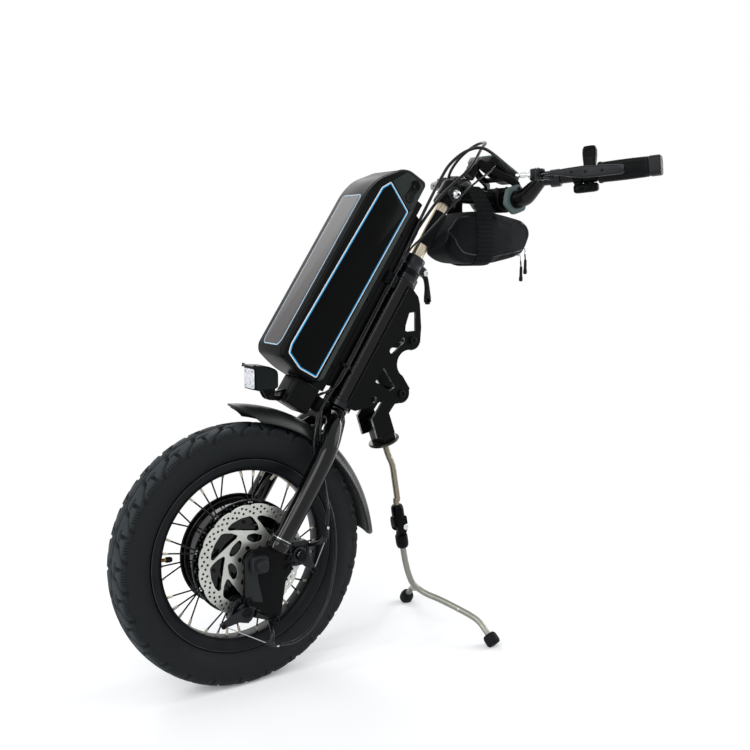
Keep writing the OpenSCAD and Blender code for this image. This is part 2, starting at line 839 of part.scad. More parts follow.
module axle_caps() {
    color("#161718") wheel() {
        translate([0, 0, bracket_y + bracket_t]) axle_cap();
        translate([0, 0, -bracket_y - bracket_t]) rotate([180, 0, 0]) axle_cap();
    }
}
module motor_stator() {
    color("#7a4a2a") wheel() translate([0, 0, -stator_half]) tube(stator_r, axle_r + fit, 2 * stator_half);
}

// Brakes
module caliper_body(bolt_shares) {
    slot0 = rotor_y - caliper_slot / 2;
    bolts = bolt_reach * bolt_shares;
    difference() {
        union() {
            translate([-caliper_in, -bracket_y, -caliper_half])
                cube([caliper_in + caliper_out, bracket_y - caliper_inner_y, 2 * caliper_half]);
            for (p = bolts) {
                translate([p[0], 0, p[1]]) along_y(ear_r, -bracket_y, ear_t - bracket_y);
                side_plate(-bracket_y, ear_t - bracket_y)
                    polygon([
                        p + [ear_r, 0], p - [ear_r, 0], [-caliper_in + over, 0], [caliper_in - over, 0]
                    ]);
            }
            translate([pivot_x, 0, 0]) along_y(pivot_boss_r, -pivot_boss_y, -bracket_y + over);
        }
        translate([-2 * caliper_in, -slot0 - caliper_slot, -2 * caliper_half])
            cube([2 * caliper_in + caliper_slot_out, caliper_slot, 4 * caliper_half]);
        for (p = bolts) translate([p[0], 0, p[1]])
            along_y(bolt_r + fit, -bracket_y - over, ear_t - bracket_y + over);
    }
    pin_end = pivot_boss_y + arm_t + 2 * gap;
    translate([pivot_x, 0, 0]) {
        along_y(pivot_r, -pin_end, -pivot_boss_y);
        along_y(pivot_head_r, -pin_end - pivot_head_h, -pin_end);
    }
}
// The cable's barrel and the arm that holds it, places are from the axle
module barrel_arm(from, shares) {
    a = [barrel_reach * shares[0][0], -barrel_y, barrel_reach * shares[0][1]];
    b = [barrel_reach * shares[1][0], -barrel_y, barrel_reach * shares[1][1]];
    translate([0, 0, tyre_r]) {
        rod(from, (a + b) / 2, barrel_arm_r);
        rod(a, b, barrel_r);
    }
}
barrel_root_y = bracket_y - ear_t / 2;
module caliper_service() {
    root = caliper_bolt_places[1] + ear_r * barrel_root_share;
    color("#1d1e20") {
        at_caliper(service_angle) caliper_body(service_bolt_shares);
        barrel_arm([root[0], -barrel_root_y, root[1]], service_barrel_shares);
    }
}
module caliper_parking() {
    color("#1d1e20") {
        at_caliper(parking_angle) caliper_body(parking_bolt_shares);
        root = [caliper_r + caliper_out - over, -barrel_root_y, caliper_half / 2];
        barrel_arm(root, parking_barrel_shares);
    }
}
module brake_pads() {
    outer = rotor_y + caliper_slot / 2;
    inner = rotor_y - caliper_slot / 2;
    color("#5b4b3a") for (angle = [service_angle, parking_angle]) at_caliper(angle) {
        translate([-pad_in, -outer, -pad_half]) cube([pad_in + pad_out, pad_t, 2 * pad_half]);
        translate([-pad_in, -inner - pad_t, -pad_half]) cube([pad_in + pad_out, pad_t, 2 * pad_half]);
    }
}
module caliper_bolts() {
    color("#2a2b2d") wheel() for (p = caliper_bolt_places) translate([p[0], p[1], bracket_y - ear_t]) {
        cylinder(r = bolt_r, h = ear_t + bracket_t + bolt_head_h);
        translate([0, 0, ear_t + bracket_t]) cylinder(r = bolt_head_r, h = bolt_head_h);
    }
}
module caliper_arm(angle, reach) {
    place = caliper_place(angle, [pivot_x, 0]);
    y0 = -pivot_boss_y - gap - arm_t;
    color("#26282a") translate([place[0], 0, tyre_r + place[1]]) difference() {
        union() {
            along_y(arm_r, y0, y0 + arm_t);
            rod([0, y0 + arm_t / 2, 0], [reach[0], y0 + arm_t / 2, reach[1]], arm_t / 2 - fit);
            translate([reach[0], 0, reach[1]]) along_y(arm_end_r, y0, y0 + arm_t);
        }
        along_y(pivot_r + fit, y0 - over, y0 + arm_t + over);
    }
}
module caliper_arm_service() { caliper_arm(service_angle, arm_len * service_arm_share); }
module caliper_arm_parking() { caliper_arm(parking_angle, arm_len * parking_arm_share); }

// Mudguard
module mudguard() {
    section_c = guard_arc_r - guard_sec_r;
    near = 90 - tilt - guard_lean;
    color("#232726") wheel() translate(-guard_offset * [cos(near), sin(near), 0])
        rotate([0, 0, guard_a0]) rotate_extrude(angle = guard_span, $fn = 96)
        translate([section_c, 0]) intersection() {
            difference() {
                circle(guard_sec_r);
                circle(guard_sec_r - guard_t);
            }
            translate([0, -guard_half]) square([2 * guard_sec_r, 2 * guard_half]);
        }
}

// Battery, rail and connector box
module battery_rail() {
    back = head_r + rail_back;
    color("#1b1c1e") steer() {
        translate([-rail_front, -rail_half, battery_u0]) cube([rail_front - back, 2 * rail_half, rail_len]);
        difference() {
            translate([-back - over, -rail_arm_half, ring_u0])
                cube([back + over, 2 * rail_arm_half, ring_h]);
            translate([0, 0, ring_u0 - over]) cylinder(r = ring_r - over, h = ring_h + 2 * over);
        }
        translate([0, 0, ring_u0]) tube(ring_r, steerer_r + fit, ring_h);
        difference() {
            translate([-back - rail_strap_t, -rail_arm_half, crown_u0 + run_gap])
                cube([back + rail_strap_t, 2 * rail_arm_half, crown_h - 2 * run_gap]);
            translate([0, 0, crown_u0 - over]) cylinder(r = crown_r + fit, h = crown_h + 2 * over);
        }
        translate([-back - rail_strap_t, -rail_arm_half, crown_u0 + run_gap])
            cube([rail_strap_t, 2 * rail_arm_half, battery_u0 - crown_u0 + over]);
    }
}
module connector_box() {
    back = head_r + rail_back + rail_strap_t;
    arm_end = [light_v, head_u0 - light_drop];
    color("#141416") steer() difference() {
        union() {
            translate([-box_front, -box_half, battery_u0 - box_drop])
                cube([box_front - back, 2 * box_half, box_drop - gap]);
            side_plate(-light_arm_half, light_arm_half) polygon([
                arm_end - [0, light_lug_r], [-box_front + over, battery_u0 - box_drop],
                [-box_front + over, battery_u0 - box_drop / 2], arm_end + [0, light_lug_r]
            ]);
            translate([arm_end[0], 0, arm_end[1]]) along_y(light_lug_r, -light_arm_half, light_arm_half);
        }
        translate([arm_end[0], 0, arm_end[1]]) along_y(light_pin_r + fit, -box_half, box_half);
    }
}
module battery_body(inset) {
    round_front = battery_front_round - inset;
    round_rear = battery_rear_round - inset;
    half = battery_w / 2 - inset;
    front = battery_v - battery_depth + inset;
    rear = battery_v - inset;
    steer() intersection() {
        side_plate(-battery_w, battery_w) polygon([for (s = battery_shares) battery_point(s, inset)]);
        translate([0, 0, battery_u0 - battery_len]) linear_extrude(3 * battery_len) union() {
            translate([front, round_front - half])
                square([rear - front - round_rear, 2 * (half - round_front)]);
            translate([front + round_front, -half])
                square([rear - front - round_front - round_rear, 2 * half]);
            translate([front + round_front, round_rear - half])
                square([rear - front - round_front, 2 * (half - round_rear)]);
            for (side = [-1, 1]) {
                translate([front + round_front, side * (half - round_front)]) circle(round_front);
                translate([rear - round_rear, side * (half - round_rear)]) circle(round_rear);
            }
        }
    }
}
module battery_hole(share, r, depth) {
    p = battery_point(share, 0);
    steer() translate([p[0], 0, p[1]]) along_y(r, -battery_w / 2 - over, depth - battery_w / 2);
}
module battery_case() {
    color("#1c1d1f") difference() {
        battery_body(0);
        battery_body(battery_wall);
        battery_hole(button_share, button_r + gap, battery_wall + over);
    }
}
module battery_cells() {
    first_v = battery_v - battery_wall - gap - cell_r;
    color("#3f6ea8") steer()
        for (i = [0 : cell_columns - 1])
            for (j = [0 : cell_rows - 1])
                translate([first_v - i * cell_pitch, 0, battery_u0 + cell_start + j * cell_pitch])
                    along_y(cell_r, -cell_len / 2, cell_len / 2);
}
module battery_panels() {
    face = battery_w / 2;
    u0 = battery_u0 + front_panel_shares[0] * battery_len;
    u1 = battery_u0 + front_panel_shares[1] * battery_len;
    color("#08090a") steer() {
        side_plate(-face - panel_t, -face) polygon([for (s = panel_shares) battery_point(s, 0)]);
        side_plate(face, face + panel_t) polygon([for (s = panel_shares) battery_point(s, 0)]);
        translate([battery_v - battery_depth - panel_t, -front_panel_half, u0])
            cube([panel_t, 2 * front_panel_half, u1 - u0]);
    }
}
module power_button() {
    p = battery_point(button_share, 0);
    face = -battery_w / 2 - button_proud;
    color("#0c0d0e") steer() translate([p[0], 0, p[1]]) along_y(button_r, face, face + button_len);
}
module charge_port_cap() {
    p = battery_point(port_share, 0);
    face = -battery_w / 2 - gap;
    color("#0c0d0e") steer() translate([p[0], 0, p[1]]) along_y(port_r, face - port_t, face);
}

// Headlight
module headlight_housing() {
    color("#191b1c") translate(light_pivot) {
        side_plate(-light_half, light_half) polygon([
            [light_back, light_bottom], [-light_front, light_bottom], [-light_front, light_top],
            [-light_front - light_visor, light_top],
            [-light_front - light_visor, light_top + light_visor_t],
            [0, light_top], [light_back, light_top - light_back]
        ]);
        for (side = [-1, 1]) {
            y = side * (light_arm_half + gap + light_ear_t / 2);
            along_y(light_lug_r, y - light_ear_t / 2, y + light_ear_t / 2);
            side_plate(y - light_ear_t / 2, y + light_ear_t / 2)
                polygon([[-light_lug_r, 0], [light_lug_r, 0], [light_back, light_bottom + over],
                         [-light_front / 2, light_bottom + over]]);
        }
        along_y(light_pin_r, -light_arm_half - gap - light_ear_t, light_arm_half + gap + light_ear_t);
    }
}
module headlight_lens() {
    half = light_half - lens_inset;
    low = light_bottom + lens_inset;
    color("#e8edf2", 0.6) translate(light_pivot)
        translate([-light_front - lens_t, -half, low])
            cube([lens_t, 2 * half, light_top - lens_inset - low]);
}

// Wheel
module tyre() {
    color("#23282a") wheel() rotate_extrude($fn = 120) {
        difference() {
            union() {
                translate([tyre_c, 0]) circle(tyre_w / 2);
                intersection() {
                    translate([tyre_r - tread_r, 0]) circle(tread_r, $fn = 120);
                    translate([tyre_c, -tread_half]) square([tyre_w, 2 * tread_half]);
                }
            }
            translate([tyre_c, 0]) circle(tyre_w / 2 - tyre_wall);
            translate([0, -tyre_w]) square([rim_r + gap, 2 * tyre_w]);
        }
        bead_z = rim_half - rim_wall - gap - bead_w;
        for (z = [bead_z, -bead_z - bead_w])
            translate([rim_r - rim_floor + gap, z]) square([rim_floor + over, bead_w]);
    }
}
module rim() {
    inner = rim_r - rim_h;
    seat = rim_r - rim_floor;
    neck = rim_half - rim_wall - bead_w / 2;
    color("#2b2e30") wheel() rotate_extrude($fn = 120) polygon([
        [inner, -neck], [inner, neck], [seat - rim_wall, rim_half], [rim_r, rim_half],
        [rim_r, rim_half - rim_wall], [seat, rim_half - rim_wall], [seat - rim_wall, neck - rim_wall],
        [seat - rim_wall, rim_wall - neck], [seat, rim_wall - rim_half], [rim_r, rim_wall - rim_half],
        [rim_r, -rim_half], [seat - rim_wall, -rim_half]
    ]);
}
module spokes() {
    inner = rim_r - rim_h;
    root_r = hub_flange_r - flange_t - spoke_r;
    step = 360 / spoke_count;
    color("#34363a") wheel() for (i = [0 : spoke_count - 1]) {
        pair = floor(i / 2);
        side = pair % 2 == 0 ? 1 : -1;
        lead = i % 2 == 0 ? -spoke_spread : spoke_spread;
        root_a = (2 * pair + 1 / 2) * step + lead;
        a = [root_r * cos(root_a), root_r * sin(root_a), side * (shell_half - flange_t / 2)];
        b = [(inner + rim_wall) * cos(i * step), (inner + rim_wall) * sin(i * step), side * spoke_offset];
        rod(a, b, spoke_r);
        rod(b - nipple_len * unit(b - a), b, nipple_r);
    }
}
module valve_stem() {
    inner = rim_r - rim_h;
    color("#b08a3c") wheel() rotate([0, 0, valve_angle]) translate([inner - 2 * fit, 0, 0])
        rotate([0, -90, 0]) {
        cylinder(r = valve_r, h = valve_len);
        translate([0, 0, valve_len / 2]) cylinder(r = valve_cap_r, h = valve_len / 2);
    }
}
module hub_shell() {
    cavity = hub_shell_r - hub_wall;
    color("#0f1011") wheel() difference() {
        union() {
            translate([0, 0, -shell_half]) cylinder(r = hub_shell_r, h = 2 * shell_half);
            for (z = [-shell_half, shell_half - flange_t]) translate([0, 0, z])
                cylinder(r = hub_flange_r, h = flange_t);
            translate([0, 0, -hub_half]) cylinder(r1 = cover_r - cover_t, r2 = cover_r, h = cover_t);
        }
        translate([0, 0, -shell_half + fit]) cylinder(r = cavity, h = 2 * shell_half + over);
        translate([0, 0, -hub_half - over]) cylinder(r = bearing_r, h = cover_t + 2 * over);
    }
}
module hub_cover() {
    color("#0f1011") wheel() difference() {
        union() {
            translate([0, 0, shell_half]) cylinder(r1 = cover_r, r2 = cover_r - cover_t, h = cover_t);
            translate([0, 0, hub_half]) cylinder(r = rotor_boss_r, h = rotor_standoff - rotor_t / 2);
        }
        translate([0, 0, shell_half - over]) cylinder(r = bearing_r, h = cover_t + over);
        translate([0, 0, shell_half]) cylinder(r = axle_r + run_gap, h = hub_w);
    }
}
module hub_bearings() {
    color("#b9bcbf") wheel() for (z = [-hub_half, shell_half])
        translate([0, 0, z]) tube(bearing_r - fit, axle_r + fit, cover_t - fit);
}
module brake_rotor() {
    band = rotor_r - rotor_band;
    hub = rotor_boss_r + rotor_t;
    step = 360 / rotor_arms;
    color("#c9cbc6") wheel() translate([0, 0, rotor_y - rotor_t / 2]) linear_extrude(rotor_t) {
        difference() {
            circle(rotor_r, $fn = 96);
            circle(band, $fn = 96);
        }
        difference() {
            circle(hub);
            circle(rotor_hole_r);
        }
        for (i = [0 : rotor_arms - 1]) rotate(i * step) polygon([
            for (p = rotor_arm_shares)
                let (r = (hub - rotor_t) + p[0] * (band - hub + 2 * rotor_t), a = p[1] * step)
                    r * [cos(a), sin(a)]
        ]);
    }
}

// Column, clamp and stem
module column_clamp() {
    color("#26282a") steer() {
        difference() {
            union() {
                translate([0, 0, clamp_u0]) cylinder(r = clamp_r, h = clamp_h);
                translate([0, -lug_w / 2, steerer_top - lug_h / 2])
                    cube([lever_pin_v + lever_pin_r + over, lug_w, lug_h]);
            }
            translate([0, 0, clamp_u0 - over]) cylinder(r = steerer_r + fit, h = clamp_h / 2 + over);
            translate([0, 0, clamp_u0]) cylinder(r = column_r + gap, h = clamp_h + over);
            translate([0, -clamp_slit / 2, clamp_u0 - over])
                cube([clamp_r + over, clamp_slit, clamp_h + 2 * over]);
            translate([clamp_r, -lug_gap / 2, clamp_u0 - over])
                cube([clamp_r, lug_gap, clamp_h + 2 * over]);
        }
        translate([lever_pin_v, 0, steerer_top]) along_y(lever_pin_r, -lug_w / 2, lug_w / 2);
    }
}
module clamp_lever() {
    pin = on_axis(lever_pin_v, 0, steerer_top);
    tail = [lever_eye_r + lever_tip_r, -lever_drop];
    color("#1f2123") translate(pin) difference() {
        union() {
            along_y(lever_eye_r, -lever_w / 2, lever_w / 2);
            side_plate(-lever_w / 2, lever_w / 2)
                polygon([
                    [lever_eye_r, 0], [-lever_pin_r, -lever_eye_r + over], tail - [lever_tip_r, 0],
                    tail + [lever_tip_r, 0]
                ]);
            translate([tail[0], 0, tail[1]]) along_y(lever_tip_r, -lever_w / 2, lever_w / 2);
        }
        along_y(lever_pin_r + fit, -lever_w, lever_w);
    }
}
module column_tube() {
    color("#a49c8c") steer() translate([0, 0, head_u1 - column_insert])
        tube(column_r, column_r - column_wall, column_top - head_u1 + column_insert);
}
module stem() {
    hub_u = column_top - stem_hub_h;
    color("#131416") difference() {
        union() {
            steer() translate([0, 0, hub_u]) cylinder(r = stem_hub_r, h = stem_hub_h + stem_cap);
            rod(on_axis(0, 0, column_top - stem_drop), bar_centre, stem_arm_r);
            cockpit() along_y(stem_clamp_r, -stem_clamp_half, stem_clamp_half);
            translate(on_axis(0, 0, column_top - stem_hub_h / 2)) along_y(stem_bolt_r, -stem_bolt_len, 0);
        }
        steer() translate([0, 0, hub_u - over]) cylinder(r = column_r + fit, h = stem_hub_h + over);
        cockpit() along_y(bar_r + fit, -stem_clamp_half - over, stem_clamp_half + over);
    }
}

// Handlebar, grips, levers and throttle
// A point on the straight end of the handlebar, from where the grip's end starts
function bar_line(s) = [bar_grip_x, bar_grip_y, bar_grip_z] + s * bar_dir;
bar_bend = [bar_bend_x, bar_mid_half, bar_bend_z];
bar_half = [
    [0, 0, 0], [0, bar_mid_half / 2, 0], [0, mount_y + mount_t / 2, 0], [0, mount_y + mount_t, 0],
    bar_bend, (bar_bend + bar_line(-bar_bend_s)) / 2, bar_line(-bar_bend_s), bar_line(-bar_straight_s),
    bar_line(0), [bar_tip_x, bar_tip_y, bar_tip_z]
];
bar_points = concat([for (i = [len(bar_half) - 1 : -1 : 1]) mirror_y(bar_half[i])], bar_half);
bar_inner = [for (i = [1 : len(bar_points) - 2]) bar_points[i]];
bar_smooth = concat([bar_points[0]], curve(bar_inner, 4), [bar_points[len(bar_points) - 1]]);
bar_radii = [
    for (p = bar_smooth)
        let (along = (abs(p[1]) - bar_mid_half) / bar_taper)
            bar_r + (bar_end_r - bar_r) * min(max(along, 0), 1)
];
module handlebar() { color("#151617") cockpit() sweep(bar_smooth, bar_radii, [0, 0, 1], bar_sides); }
module grips() {
    color("#161718") cockpit() for (side = [-1, 1]) on_bar(side, grip_s0) difference() {
        union() {
            cylinder(r = grip_r, h = grip_len);
            translate([0, 0, grip_len - fit]) cylinder(r = grip_cap_r, h = grip_cap_h, $fn = 8);
        }
        translate([0, 0, -over]) cylinder(r = bar_end_r + fit, h = grip_len + over + fit);
    }
}
module perch() {
    difference() {
        union() {
            translate([bar_grip_x, bar_grip_y, bar_grip_z] + perch_s * bar_dir)
                rotate([0, acos(bar_dir[2]), atan2(bar_dir[1], bar_dir[0])])
                    translate([0, 0, -perch_len / 2]) cylinder(r = perch_r, h = perch_len);
            rod([bar_grip_x, bar_grip_y, bar_grip_z] + perch_s * bar_dir, perch_pivot, perch_arm_r);
            translate(perch_pivot - [0, 0, perch_hub_half])
                cylinder(r = perch_hub_r, h = 2 * perch_hub_half);
        }
        translate(perch_pivot - [0, 0, perch_slot_half])
            cylinder(r = lever_hub_r + run_gap, h = 2 * perch_slot_half);
        translate(perch_pivot - [lever_hub_r + run_gap, 0, perch_slot_half])
            cube([3 * lever_hub_r, 2 * perch_hub_r, 2 * perch_slot_half]);
        translate([bar_grip_x, bar_grip_y, bar_grip_z] + perch_s * bar_dir)
            rotate([0, acos(bar_dir[2]), atan2(bar_dir[1], bar_dir[0])])
                translate([0, 0, -perch_len]) cylinder(r = bar_end_r + fit, h = 2 * perch_len);
    }
    translate(perch_pivot - [0, 0, perch_hub_half]) cylinder(r = lever_pivot_r, h = 2 * perch_hub_half);
    rod(adjuster_ends[0], adjuster_ends[1], adjuster_r);
}
module lever_perches() {
    color("#1a1b1d") cockpit() {
        perch();
        mirror([0, 1, 0]) perch();
    }
}
module lever_post(i, h) {
    translate(lever_points[i]) cylinder(r = lever_blade_r, h = h, center = true, $fn = 20);
}
module brake_lever() {
    difference() {
        union() {
            translate(perch_pivot - [0, 0, lever_half]) cylinder(r = lever_hub_r, h = 2 * lever_half);
            hull() {
                translate(perch_pivot) cylinder(r = lever_half, h = lever_half, center = true);
                lever_post(0, lever_root_h);
            }
            hull() {
                lever_post(0, lever_root_h);
                lever_post(1, lever_blade_h);
            }
            hull() {
                lever_post(1, lever_blade_h);
                lever_post(2, lever_end_h);
            }
        }
        translate(perch_pivot - [0, 0, perch_hub_half])
            cylinder(r = lever_pivot_r + fit, h = 2 * perch_hub_half);
    }
}
module brake_lever_right() { color("#2a2c2f") cockpit() brake_lever(); }
module brake_lever_left() { color("#2a2c2f") cockpit() mirror([0, 1, 0]) brake_lever(); }
module throttle_body() {
    color("#161718") cockpit() on_bar(-1, throttle_s) difference() {
        union() {
            cylinder(r = throttle_r, h = throttle_len);
            translate([0, -pod_neck / 2, 0]) cube([pod_drop, pod_neck, throttle_len]);
            translate([pod_drop, 0, 0]) cylinder(r = pod_r, h = pod_len);
        }
        translate([0, 0, -over]) cylinder(r = bar_end_r + fit, h = throttle_len + 2 * over);
    }
}
module throttle_lever() {
    color("#111213") cockpit() on_bar(-1, throttle_s + throttle_len + gap) difference() {
        union() {
            cylinder(r = throttle_r, h = paddle_ring_len);
            rotate([0, 0, paddle_lean]) translate([-paddle_reach, -paddle_t / 2, run_gap])
                cube([paddle_reach, paddle_t, paddle_ring_len - 2 * run_gap]);
        }
        translate([0, 0, -over]) cylinder(r = bar_end_r + gap, h = paddle_ring_len + 2 * over);
    }
}

// Display and its mount
module display() {
    x = display_len / 2;
    y = display_w / 2;
    color("#0e0f10") cockpit() translate([display_x, 0, display_z]) rotate([0, display_tilt, 0])
        translate([0, 0, -display_t / 2]) linear_extrude(display_t) polygon([
            [-x + display_corner, -y], [x - display_corner, -y], [x, display_corner - y],
            [x, y - display_corner], [x - display_corner, y], [display_corner - x, y],
            [-x, y - display_corner], [-x, display_corner - y]
        ]);
}
module mount_post(p, r, y) { translate([p[0], 0, p[1]]) along_y(r, y - mount_t / 2, y + mount_t / 2); }
module display_bracket() {
    color("#5f6f70") cockpit() {
        for (side = [-1, 1]) difference() {
            union() {
                hull() {
                    mount_post(mount_front, mount_beam_r, side * mount_block_half);
                    mount_post(mount_back, mount_beam_r, side * mount_arm_y);
                }
                hull() {
                    mount_post(mount_back, mount_beam_r, side * mount_arm_y);
                    mount_post(mount_foot, mount_beam_r, side * mount_y);
                }
                mount_post(mount_foot, mount_ring_r, side * mount_y);
            }
            mount_bore();
        }
        translate([mount_front[0], 0, mount_front[1]])
            along_y(mount_block_r, -mount_block_half, mount_block_half);
        translate([mount_rest[0], 0, mount_rest[1]])
            along_y(mount_rest_r, -mount_rest_half, mount_rest_half);
        rod([horn_ends[0][0], 0, horn_ends[0][1]], [horn_ends[1][0], 0, horn_ends[1][1]], horn_r);
        rod([horn_ends[1][0] - over, 0, horn_ends[1][1] - over], [mount_front[0], 0, mount_front[1]],
            horn_neck_r);
    }
}
module mount_bore() {
    translate([mount_foot[0], 0, mount_foot[1]]) along_y(bar_r + fit, -mount_y - mount_t, mount_y + mount_t);
}

// Bag and its strap
module bag() {
    color("#131517") cockpit() intersection() {
        side_plate(-bag_half, bag_half)
            polygon([for (s = bag_shares) [s[0] * bag_len, (s[1] - 1) * bag_h]]);
        translate([0, 0, -2 * bag_h]) linear_extrude(2 * bag_h) polygon([
            [-bag_len, -bag_half], [-bag_round, -bag_half], [bag_len / 4, bag_round - bag_half],
            [bag_len / 4, bag_half - bag_round], [-bag_round, bag_half], [-bag_len, bag_half]
        ]);
    }
}
module strap_outline(t) {
    half = bag_half + gap + t;
    polygon([
        [-half, -bag_h - gap - t], [-half, strap_shoulder], [-strap_top_half - t, strap_top + t],
        [strap_top_half + t, strap_top + t], [half, strap_shoulder], [half, -bag_h - gap - t]
    ]);
}
module bag_strap() {
    color("#1a1b1d") cockpit() translate([strap_x - strap_w / 2, 0, 0]) rotate([90, 0, 90])
        linear_extrude(strap_w) difference() {
        strap_outline(strap_t);
        strap_outline(0);
    }
}

// Cables
module cables_lower() {
    color("#0f1011") {
        sweep(curve(follow(service_route), cable_steps), cable_r, [0, 1, 0], cable_sides);
        sweep(curve(follow(parking_route), cable_steps), cable_r, [0, 1, 0], cable_sides);
        sweep(follow(display_route), wire_r, [0, 1, 0], cable_sides);
    }
}
module cables_upper() {
    color("#0f1011") {
        sweep(curve(follow(left_route), cable_steps), cable_r, [1, 0, 0], cable_sides);
        sweep(curve(follow(right_route), cable_steps), cable_r, [1, 0, 0], cable_sides);
        sweep(follow(display_lead), wire_r, [0, 1, 0], cable_sides);
    }
}

head_tube();
headset_bearings();
dock_plate_left();
dock_plate_right();
dock_bolts();
stand_socket();
stand_post();
stand_knuckle();
stand_ferrule();
stand_leg();
stand_feet();
fork_crown();
fork_leg_left();
fork_leg_right();
brake_bracket();
dropout_right();
axle();
axle_caps();
motor_stator();
caliper_service();
caliper_parking();
brake_pads();
caliper_bolts();
caliper_arm_service();
caliper_arm_parking();
mudguard();
battery_rail();
connector_box();
headlight_housing();
headlight_lens();
battery_case();
battery_cells();
battery_panels();
power_button();
charge_port_cap();
tyre();
rim();
spokes();
valve_stem();
hub_shell();
hub_cover();
hub_bearings();
brake_rotor();
column_clamp();
clamp_lever();
column_tube();
stem();
handlebar();
grips();
lever_perches();
brake_lever_left();
brake_lever_right();
throttle_body();
throttle_lever();
display();
display_bracket();
bag();
bag_strap();
cables_lower();
cables_upper();
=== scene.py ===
"""Dresses the wheelchair power assist: smooth metal, tread, cables, bag and finishes over its fixed frame."""

import math

import bmesh
import bpy
from bpy.props import FloatProperty, FloatVectorProperty, IntProperty, PointerProperty
from mathutils import Matrix, Vector
from mathutils.bvhtree import BVHTree


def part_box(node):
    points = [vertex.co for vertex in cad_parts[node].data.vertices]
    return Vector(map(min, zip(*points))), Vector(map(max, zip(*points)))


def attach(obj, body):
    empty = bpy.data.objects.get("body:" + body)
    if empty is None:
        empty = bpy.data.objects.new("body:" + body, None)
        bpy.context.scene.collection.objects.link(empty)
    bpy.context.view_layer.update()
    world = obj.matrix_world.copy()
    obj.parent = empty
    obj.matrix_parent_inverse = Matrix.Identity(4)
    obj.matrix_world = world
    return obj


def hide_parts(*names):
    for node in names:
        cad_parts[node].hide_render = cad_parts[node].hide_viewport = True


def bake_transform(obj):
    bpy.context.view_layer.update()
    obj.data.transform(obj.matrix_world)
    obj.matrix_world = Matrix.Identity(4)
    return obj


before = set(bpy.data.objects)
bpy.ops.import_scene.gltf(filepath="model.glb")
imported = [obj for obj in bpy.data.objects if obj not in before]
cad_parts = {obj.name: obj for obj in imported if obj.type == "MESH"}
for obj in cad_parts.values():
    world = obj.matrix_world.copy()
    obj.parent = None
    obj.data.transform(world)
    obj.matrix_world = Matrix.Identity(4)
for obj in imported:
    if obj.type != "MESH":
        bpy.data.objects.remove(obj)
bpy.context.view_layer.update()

bl_info = {
    "name": "Wheelchair power assist",
    "version": (1, 0, 0),
    "blender": (4, 5, 0),
    "location": "3D View > Sidebar > Power assist",
    "description": "Builds the visible pieces of an electric front wheel for a wheelchair",
    "category": "Object",
}

MM = 0.001
TILT = 33.2
RAKE = 33
AXLE_HEIGHT = 215


# Frames of the object, in millimetres
def place(x, y, z):
    return Matrix.Translation((x, y, z))


def turn(axis, degrees):
    return Matrix.Rotation(math.radians(degrees), 4, axis)


MIRROR = Matrix.Scale(-1, 4, (0, 1, 0))
AXLE = place(0, 0, AXLE_HEIGHT)
WHEEL = AXLE @ turn("X", 90)
STEER = AXLE @ turn("Y", TILT) @ place(RAKE, 0, 0)
SIDE = STEER @ turn("X", 90)
BAR_CENTRE = STEER @ Vector((103, 0, 783.5))
COCKPIT = Matrix.Translation(BAR_CENTRE)
GRIP_START = Vector((54, 181, 40))
BAR_DIR = Vector((58, 90.5, 10)).normalized()
STAND_TOP = STEER @ Vector((120.75, 0, 284))
KNUCKLE = Vector((STAND_TOP.x + 0.274 * (430 - STAND_TOP.x), 0, 0.565 * STAND_TOP.z))
ON_STAND = Matrix.Translation(STAND_TOP) @ turn("Y", -19.3)
ON_KNUCKLE = Matrix.Translation(KNUCKLE) @ turn("Y", -10)
LIGHT_PIVOT = STEER @ Vector((-125, 0, 243))


def on_bar(side, along):
    spot = Matrix.Translation(GRIP_START + along * BAR_DIR)
    heading = turn("Z", math.degrees(math.atan2(BAR_DIR.y, BAR_DIR.x)))
    dip = turn("Y", math.degrees(math.acos(BAR_DIR.z)))
    mirror = MIRROR if side < 0 else Matrix()
    return COCKPIT @ mirror @ spot @ heading @ dip


# Lines and outlines
def flow(points, steps, closed=False):
    """A smooth line through the points."""
    points = [Vector(p) for p in points]
    count = len(points)
    line = []
    for i in range(count if closed else count - 1):
        if closed:
            a, b, c, d = (points[(i + k) % count] for k in (-1, 0, 1, 2))
        else:
            a, b, c, d = (points[min(max(i + k, 0), count - 1)] for k in (-1, 0, 1, 2))
        for k in range(steps):
            s = k / steps
            line.append((2 * b + (c - a) * s + (2 * a - 5 * b + 4 * c - d) * s ** 2
                         + (3 * b - a - 3 * c + d) * s ** 3) / 2)
    if not closed:
        line.append(points[-1])
    return line


def rounded(points, radius, steps=4, closed=True):
    """The same outline with its corners turned into arcs."""
    points = [Vector(p) for p in points]
    count = len(points)
    line = []
    for i, corner in enumerate(points):
        if not closed and i in (0, count - 1):
            line.append(corner)
            continue
        before = points[i - 1] - corner
        after = points[(i + 1) % count] - corner
        reach = min(radius, 0.45 * before.length, 0.45 * after.length)
        start = corner + before.normalized() * reach
        end = corner + after.normalized() * reach
        for k in range(steps + 1):
            s = k / steps
            line.append(start * (1 - s) ** 2 + corner * 2 * s * (1 - s) + end * s ** 2)
    return line


def circle(x, y, radius, sides=24):
    angles = [math.tau * k / sides for k in range(sides)]
    return [(x + radius * math.cos(a), y + radius * math.sin(a)) for a in angles]


def polar(radius, degrees):
    return (radius * math.cos(math.radians(degrees)), radius * math.sin(math.radians(degrees)))


# Shapes
def lathe(profile, steps=64):
    """A profile of radius and height, turned about z."""
    bm = bmesh.new()
    points = [bm.verts.new((p[0], 0, p[1])) for p in profile]
    edges = [bm.edges.new(pair) for pair in zip(points, points[1:])]
    bmesh.ops.spin(bm, geom=points + edges, cent=(0, 0, 0), axis=(0, 0, 1), angle=math.tau,
                   steps=steps, use_merge=True)
    bmesh.ops.remove_doubles(bm, verts=bm.verts, dist=0.0005)
    return bm


